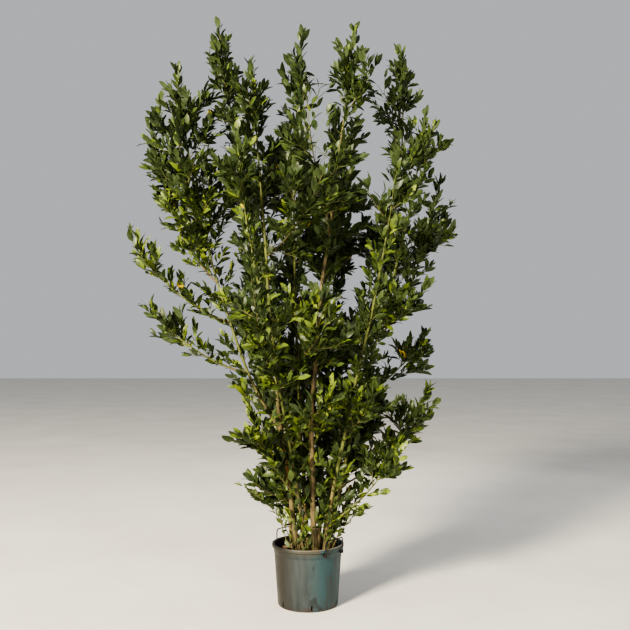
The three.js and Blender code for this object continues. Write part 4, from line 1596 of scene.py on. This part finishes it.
def lathe(name, profile, sides, material):
    """A closed body turned about the upright, from a profile that starts and ends on the axis."""
    inner = np.array(profile[1:-1])
    angles = np.linspace(0, 2 * math.pi, sides, endpoint=False)
    rings = np.stack([
        inner[:, :1] * np.cos(angles),
        inner[:, :1] * np.sin(angles),
        np.repeat(inner[:, 1:], sides, axis=1),
    ], axis=2)
    ends = np.array([(0, 0, profile[0][1]), (0, 0, profile[-1][1])])
    points = np.concatenate([rings.reshape(-1, 3), ends])
    return triangle_mesh(name, points, ring_triangles(len(inner), sides), [material])


def pot_profile():
    """The pot's section: out along the underside, up the outside, over the rim and down to the floor."""
    bead = POT["height"] - POT["bead_height"]
    collar = POT["height"] - POT["collar_height"]
    step, corner = POT["collar_step"], POT["collar_corner"]
    foot, rim, lip = POT["foot_round"], POT["rim_round"], POT["lip"]
    rim_radius = POT["rim_radius"]
    top = POT["height"] - lip
    inside = POT["neck_radius"] - POT["wall"]
    inner_foot = (body_radius(POT["floor"]) - POT["wall"], POT["floor"])
    profile = [(0, 0), (POT["floor_ring"], 0), (POT["foot_radius"] - foot, 0)]
    profile += arc((body_radius(foot) - foot, foot), foot, *POT_ARCS["foot"], POT_STEPS["foot"])
    profile += straight((body_radius(foot), foot), (body_radius(collar), collar), POT_STEPS["wall"])
    profile += [(body_radius(collar), collar)]
    profile += [(body_radius(collar) + corner, collar + corner / 2)]
    profile += [(body_radius(collar) + step, collar + step)]
    profile += [(POT["neck_radius"] + step, bead - POT["under_bead"])]
    profile += arc((rim_radius - rim, bead + rim), rim, *POT_ARCS["bead"], POT_STEPS["bead"])
    profile += straight((rim_radius, bead + rim), (rim_radius, top), POT_STEPS["rim"])
    profile += arc((rim_radius - lip, top), lip, *POT_ARCS["outer_lip"], POT_STEPS["outer_lip"])
    inner_lip = (inside + lip + POT["lip_width"], top)
    profile += arc(inner_lip, lip, *POT_ARCS["inner_lip"], POT_STEPS["inner_lip"])
    profile += [(inside + POT["neck_flare"], bead + rim), (inside, bead)]
    profile += straight((inside, bead), inner_foot, POT_STEPS["inside"])
    profile += [inner_foot, (POT["floor_ring"], POT["floor"]), (0, POT["floor"])]
    return profile


def box_mesh(name, size, rounding, place, turn):
    """A box with rounded edges, in metres, moved outwards and turned about the upright."""
    shape = bmesh.new()
    bmesh.ops.create_cube(shape, size=1)
    bmesh.ops.scale(shape, vec=Vector(size) * MM, verts=shape.verts)
    width = rounding * MM
    bmesh.ops.bevel(shape, geom=shape.edges[:], offset=width, segments=4, affect="EDGES", profile=0.5)
    turned = Matrix.Rotation(turn, 4, "Z") @ Matrix.Translation(Vector(place) * MM)
    bmesh.ops.transform(shape, matrix=turned, verts=shape.verts)
    mesh = bpy.data.meshes.new(name)
    shape.to_mesh(mesh)
    shape.free()
    return mesh


def join_meshes(name, meshes, material):
    shape = bmesh.new()
    for mesh in meshes:
        shape.from_mesh(mesh)
    joined = bpy.data.meshes.new(name)
    shape.to_mesh(joined)
    shape.free()
    joined.materials.append(material)
    return joined


def make_pot(material):
    """The lathe-turned shell with its drain slots cut out of the foot."""
    pot = new_object("nursery_pot", lathe("nursery_pot", pot_profile(), POT["sides"], material))
    size = (DRAIN["depth"], DRAIN["width"], DRAIN["high"] - DRAIN["low"])
    place = (body_radius(DRAIN["low"]), 0, (DRAIN["high"] + DRAIN["low"]) / 2)
    slots = []
    for i in range(DRAIN["count"]):
        angle = math.radians(DRAIN["first_angle"] + i * 360 / DRAIN["count"])
        slots.append(box_mesh("slot", size, DRAIN["rounding"], place, angle))
    cutter = new_object("slots", join_meshes("slots", slots, material))
    cut = pot.modifiers.new("cut", "BOOLEAN")
    cut.object = cutter
    cut.operation = "DIFFERENCE"
    cut.solver = "EXACT"
    result = bpy.data.meshes.new_from_object(pot.evaluated_get(bpy.context.evaluated_depsgraph_get()))
    result.name = "nursery_pot_cut"
    bpy.data.objects.remove(cutter)
    pot.modifiers.remove(cut)
    pot.data = result
    result.shade_smooth()
    result.set_sharp_from_angle(angle=math.radians(POT["sharp_from"]))
    return pot


def make_compost(material):
    """The filling, uneven on top, with its sides a little inside the pot's wall."""
    edge = body_radius(SOIL_LEVEL) - POT["wall"] - GAP
    foot = POT["floor"] + GAP
    profile = [(0, foot), (body_radius(foot) - POT["wall"] - GAP, foot)]
    profile += [(edge, SOIL_LEVEL - COMPOST["edge_drop"])]
    rings = np.linspace(COMPOST["outer"], COMPOST["inner"], COMPOST["rings"])
    profile += [(edge * share, SOIL_LEVEL) for share in rings]
    profile += [(0, SOIL_LEVEL)]
    mesh = lathe("compost_filling", profile, COMPOST["sides"], material)
    for vertex in mesh.vertices:
        if vertex.co.z > (SOIL_LEVEL - 1) * MM:
            rough = sum(noise.noise(vertex.co * waves) * height for waves, height in CLODS)
            vertex.co.z += (rough - COMPOST["sunk"]) * MM
    mesh.update()
    return new_object("compost_filling", mesh)


def handle_route(first, last, reach):
    """Up one leg, round a bend, along the rim and down the other leg."""
    low = HANDLE["pad_top"] - HANDLE["pad_height"] / 2
    top = POT["height"] + HANDLE["above"]
    bend = HANDLE["bend"]
    half = [(0, z) for z in np.linspace(low, top - bend, HANDLE_STEPS["leg"])]
    for turn in np.radians(np.linspace(0, 90, HANDLE_STEPS["bend"]))[1:]:
        half.append((bend * (1 - math.cos(turn)), top - bend + bend * math.sin(turn)))
    route = [on_circle(reach, first + out / reach, z) for out, z in half]
    bar = np.linspace(first + bend / reach, last - bend / reach, HANDLE_STEPS["bar"])[1:-1]
    route += [on_circle(reach, angle, top) for angle in bar]
    route += [on_circle(reach, last - out / reach, z) for out, z in reversed(half)]
    return np.array(route)


def make_handle(name, span, tree, material):
    first, last = (math.radians(angle) for angle in span)
    reach = POT["rim_radius"] + GAP + HANDLE["rod"] + HANDLE["off_rim"]
    route = handle_route(first, last, reach)
    stem = (route, np.full(len(route), HANDLE["rod"]), False)
    rod = tubes_along(name, [stem], HANDLE["sides"], tree, material, material)
    wall = POT["neck_radius"] + POT["collar_step"] + GAP
    depth = reach + HANDLE["rod"] - wall
    size = (depth, HANDLE["pad_width"], HANDLE["pad_height"])
    place = (wall + depth / 2, 0, HANDLE["pad_top"] - HANDLE["pad_height"] / 2)
    pads = [box_mesh("pad", size, HANDLE["pad_rounding"], place, angle) for angle in (first, last)]
    rod.data = join_meshes(name, [rod.data, *pads], material)
    rod.data.shade_smooth()
    rod.data.set_sharp_from_angle(angle=math.radians(HANDLE["sharp_from"]))
    return rod


def make_litter(materials):
    """Fallen leaves that lie about on the compost."""
    random = np.random.default_rng(LITTER["seed"])
    leaves = []
    for _ in range(LITTER["count"]):
        turn, way = random.uniform(0, math.tau, 2)
        out = LITTER["reach"] * math.sqrt(random.uniform(0, 1))
        place = on_circle(out, turn, SOIL_LEVEL + random.uniform(*LITTER["above"]))
        along = unit(on_circle(1, way, random.normal(0, LITTER["tilt"])))
        leaves.append((place, along, random.uniform(*LITTER["lengths"]), random.integers(len(materials))))
    points = leaf_points(leaves, random)
    reach = body_radius(SOIL_LEVEL) - LITTER["off_wall"]
    inside = np.linalg.norm(points[:, :, :2], axis=2).max(axis=1) < reach
    tints = np.array([leaf[3] for leaf in leaves])
    mesh = join_leaves("fallen_leaves", points[inside], tints[inside], materials)
    return new_object("fallen_leaves", mesh)


# Bark


def limb_frames(headings):
    """Axes across a limb at each ring, which turn with it as little as they can."""
    across, face = [], []
    towards = FRONT
    for along in headings:
        side = unit(np.cross(towards, along))
        towards = np.cross(along, side)
        across.append(side)
        face.append(towards)
    return np.array(across), np.array(face)


def bark_relief(down, angles, random):
    """How far the bark stands out of its even taper, as a share of the radius: long ridges, and a swollen
    ring with a bud scar at each old joint."""
    relief = np.zeros((len(down), len(angles)))
    for waves, wander, depth in RIDGES:
        phases = random.uniform(0, math.tau, 3)
        drift = phases[0] + RIDGE["wander"] * np.sin(down / wander + phases[1])
        fade = np.sin(down / (wander * RIDGE["fade_length"]) + phases[2])
        fade = RIDGE["mean"] + RIDGE["fade"] * fade
        relief += depth * fade[:, None] * np.sin(waves * angles + drift[:, None])
    joint = random.uniform(*JOINT["first"])
    while joint < down[-1]:
        ring = np.exp(-(((down - joint) / JOINT["length"]) ** 2))
        turn = random.uniform(0, math.tau)
        scar = np.exp((np.cos(angles - turn) - 1) * JOINT["scar_narrow"])
        relief += ring[:, None] * (JOINT["ring"] + JOINT["scar"] * scar)
        joint += random.uniform(*JOINT["apart"])
    return relief + random.normal(0, RIDGE["grain"], relief.shape)


def bark_radius(limb, shares):
    """A limb's taper, with its thin tip, its root flare or fork, and the collar where it has one."""
    down = shares * limb.length
    radius = limb.radius(shares) * np.minimum(1, BARK["tip"] + (1 - shares) * BARK["tip_fall"])
    if limb.parent is None:
        radius *= 1 + BARK["flare"] * np.exp(-shares * BARK["flare_fall"])
    else:
        radius *= 1 + BARK["fork"] * np.exp(-down / BARK["fork_fall"])
    if limb.name in STRIPPED:
        collar = STRIPPED[limb.name][1] * limb.length
        radius *= 1 + COLLAR["depth"] * np.exp(-(((down - collar) / COLLAR["height"]) ** 2))
    return radius


def bark_centres(limb, shares, across, forward, random):
    """The middle of each ring of a limb, which sways a little off its even curve."""
    down = shares * limb.length
    sway = limb.radius(shares)[:, None] * SWAY["share"]
    phases = random.uniform(0, math.tau, 2)
    settle = np.minimum(1, down / SWAY["settle"])[:, None]
    centres = limb.curve.at(shares)
    centres += sway * settle * np.sin(down / SWAY["across"] + phases[0])[:, None] * across
    centres += sway * settle * np.sin(down / SWAY["forward"] + phases[1])[:, None] * forward
    if limb.parent is None:
        centres[0, 2] -= BARK["rooted"]
    return centres


def make_bark(limb, seed, material):
    """One limb from its foot to its tip. Its youth and its stripped stretch are kept for its colour."""
    random = np.random.default_rng(seed)
    sides = BARK["sides"]
    last = 1 - LAST_LEAF / limb.length
    rings = round(limb.length * last / BARK["ring"])
    shares = np.linspace(0, last, rings)
    across, forward = limb_frames(limb.curve.heading(shares))
    angles = np.linspace(0, math.tau, sides, endpoint=False)
    relief = bark_relief(shares * limb.length, angles, random)
    radius = bark_radius(limb, shares)[:, None] * (1 + relief)
    centres = bark_centres(limb, shares, across, forward, random)
    around = np.cos(angles)[None, :, None] * across[:, None]
    around = around + np.sin(angles)[None, :, None] * forward[:, None]
    points = centres[:, None] + around * radius[..., None]
    ends = np.stack([centres[0], centres[-1] + limb.curve.heading(1.0) * BARK["tip_cap"]])
    points = np.concatenate([points.reshape(-1, 3), ends])
    name = f"bark_{limb.name}"
    mesh = triangle_mesh(name, points, ring_triangles(rings, sides), [material])
    turn = BARK["turns_olive"]
    brown = BROWN_UNTIL.get(limb.name, BROWN_USUAL)
    youth = np.clip((shares - brown) / turn + turn, 0, 1)
    low, high = STRIPPED.get(limb.name, NOT_STRIPPED)
    stripped = np.minimum(shares - low, high - shares) * limb.length / STRIPPED_EDGE
    stripped = np.clip(stripped, 0, 1)
    for key, values in (("youth", youth), ("stripped", stripped)):
        values = np.concatenate([np.repeat(values, sides), values[[0, -1]]])
        add_attribute(mesh, key, "FLOAT", values.astype(np.float32))
    return new_object(name, mesh)


# Stage


def aim(piece, place, target):
    piece.location = place
    piece.rotation_euler = (Vector(target) - Vector(place)).to_track_quat("-Z", "Y").to_euler()


def add_light(name, place, target, size, power, colour):
    light = bpy.data.lights.new(name, "AREA")
    light.size = size
    light.energy = power
    light.color = colour
    aim(new_object(name, light), place, target)


def make_stage():
    """A plain pale floor and surroundings, with a warm key light from high at the front left."""
    bpy.ops.mesh.primitive_plane_add(size=FLOOR_SIZE)
    floor = bpy.context.object
    floor.name = "floor"
    floor.data.materials.append(mottled_material("floor"))
    bpy.context.scene.view_settings.look = "AgX - Medium High Contrast"
    world = bpy.data.worlds.new("surroundings")
    bpy.context.scene.world = world
    world.use_nodes = True
    background = world.node_tree.nodes["Background"]
    background.inputs["Color"].default_value = SURROUNDINGS["colour"]
    background.inputs["Strength"].default_value = SURROUNDINGS["strength"]
    for name, light in LIGHTS.items():
        add_light(name, *light)


def make_camera():
    """At the height of a standing viewer's chest, tipped up a little."""
    camera = bpy.data.cameras.new("camera")
    camera.sensor_fit = "HORIZONTAL"
    camera.angle = CAMERA["angle"]
    piece = new_object("camera", camera)
    piece.location = CAMERA["place"]
    piece.rotation_euler = (math.radians(90) + CAMERA["rise"], 0, 0)
    bpy.context.scene.camera = piece


# The whole plant


def finish_piece(piece, slot, *nodes):
    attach(piece, "root")
    if nodes:
        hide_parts(*nodes)


def make_container(tree):
    """The pot, its handles, and the compost with its crumbs and fallen leaves."""
    finish_piece(make_pot(pot_material()), "pot", "pot")
    wire = mottled_material("handle_wire")
    for name, span in HANDLES.items():
        finish_piece(make_handle(f"wire_{name}", span, tree, wire), "handle", name)
    compost = mottled_material("compost")
    filling = make_compost(compost)
    values = {
        "Lowest": (SOIL_LEVEL - CRUMBS["below"]) * MM,
        "Spacing": CRUMBS["spacing"],
        "Smallest": CRUMBS["smallest"],
        "Largest": CRUMBS["largest"],
        "Seed": CRUMBS["seed"],
        "Material": compost,
    }
    crumbs = run_tree("compost_crumbs", filling, crumb_tree(), values)
    finish_piece(filling, "compost", "compost")
    finish_piece(crumbs, "compost")
    finish_piece(make_litter(litter_materials()), "compost")


def gather_greenery(side, seed, limbs, masses):
    """The stems and leaves of one side of the crown, from its own limbs and masses."""
    green = Greenery(seed)
    for mass in masses:
        green.add_mass(mass)
    for limb in limbs:
        green.add_spurs(limb)
    if side == "front":
        for shoot in LOW_SHOOTS:
            green.add_low_shoot(*shoot)
    return green


def pick_leaves(green, limbs):
    """The points and tints of the leaves that stay, with few before bare wood or in a gap of the crown."""
    points = leaf_points(green.leaves, green.random)
    kept = keep_leaves(points, limbs)
    lots = green.random.uniform(0, 1, len(points))
    kept &= ~(hides_limb(points, limbs) & (lots < BARE_SHARE))
    kept &= ~(closes_gap(points) & (lots < GAP_SHARE))
    tints = np.array([leaf[3] for leaf in green.leaves])
    return points[kept], tints[kept]


def make_plant(tree):
    """The bark of each limb, and the leaves and twigs of each side of the crown."""
    limbs = grow_limbs()
    masses = list_masses(limbs)
    for seed, mass in enumerate(masses, 1):
        grow_mass(mass, seed, limbs, masses)
    bark = bark_material()
    for seed, limb in enumerate(limbs, BARK_SEED):
        finish_piece(make_bark(limb, seed, bark), "bark", limb.name)
    old = plain_material("twig_brown", TWIG_COLOURS["brown"], roughness=0.7)
    young = plain_material("twig_green", TWIG_COLOURS["green"], roughness=0.55)
    leaf_kinds = leaf_materials()
    for seed, (side, names) in enumerate(SIDES.items(), GREENERY_SEED):
        own = [mass for mass in masses if mass.limb.name in names]
        green = gather_greenery(side, seed, [limb for limb in limbs if limb.name in names], own)
        points, tints = pick_leaves(green, limbs)
        leaves = new_object(f"leaves_{side}", join_leaves(f"leaves_{side}", points, tints, leaf_kinds))
        finish_piece(leaves, "foliage", *[mass.name for mass in own])
        twigs = tubes_along(f"twigs_{side}", green.stems, TWIG_SIDES, tree, old, young)
        finish_piece(twigs, "foliage")


tubes = tube_tree()
make_container(tubes)
make_plant(tubes)
make_stage()
make_camera()
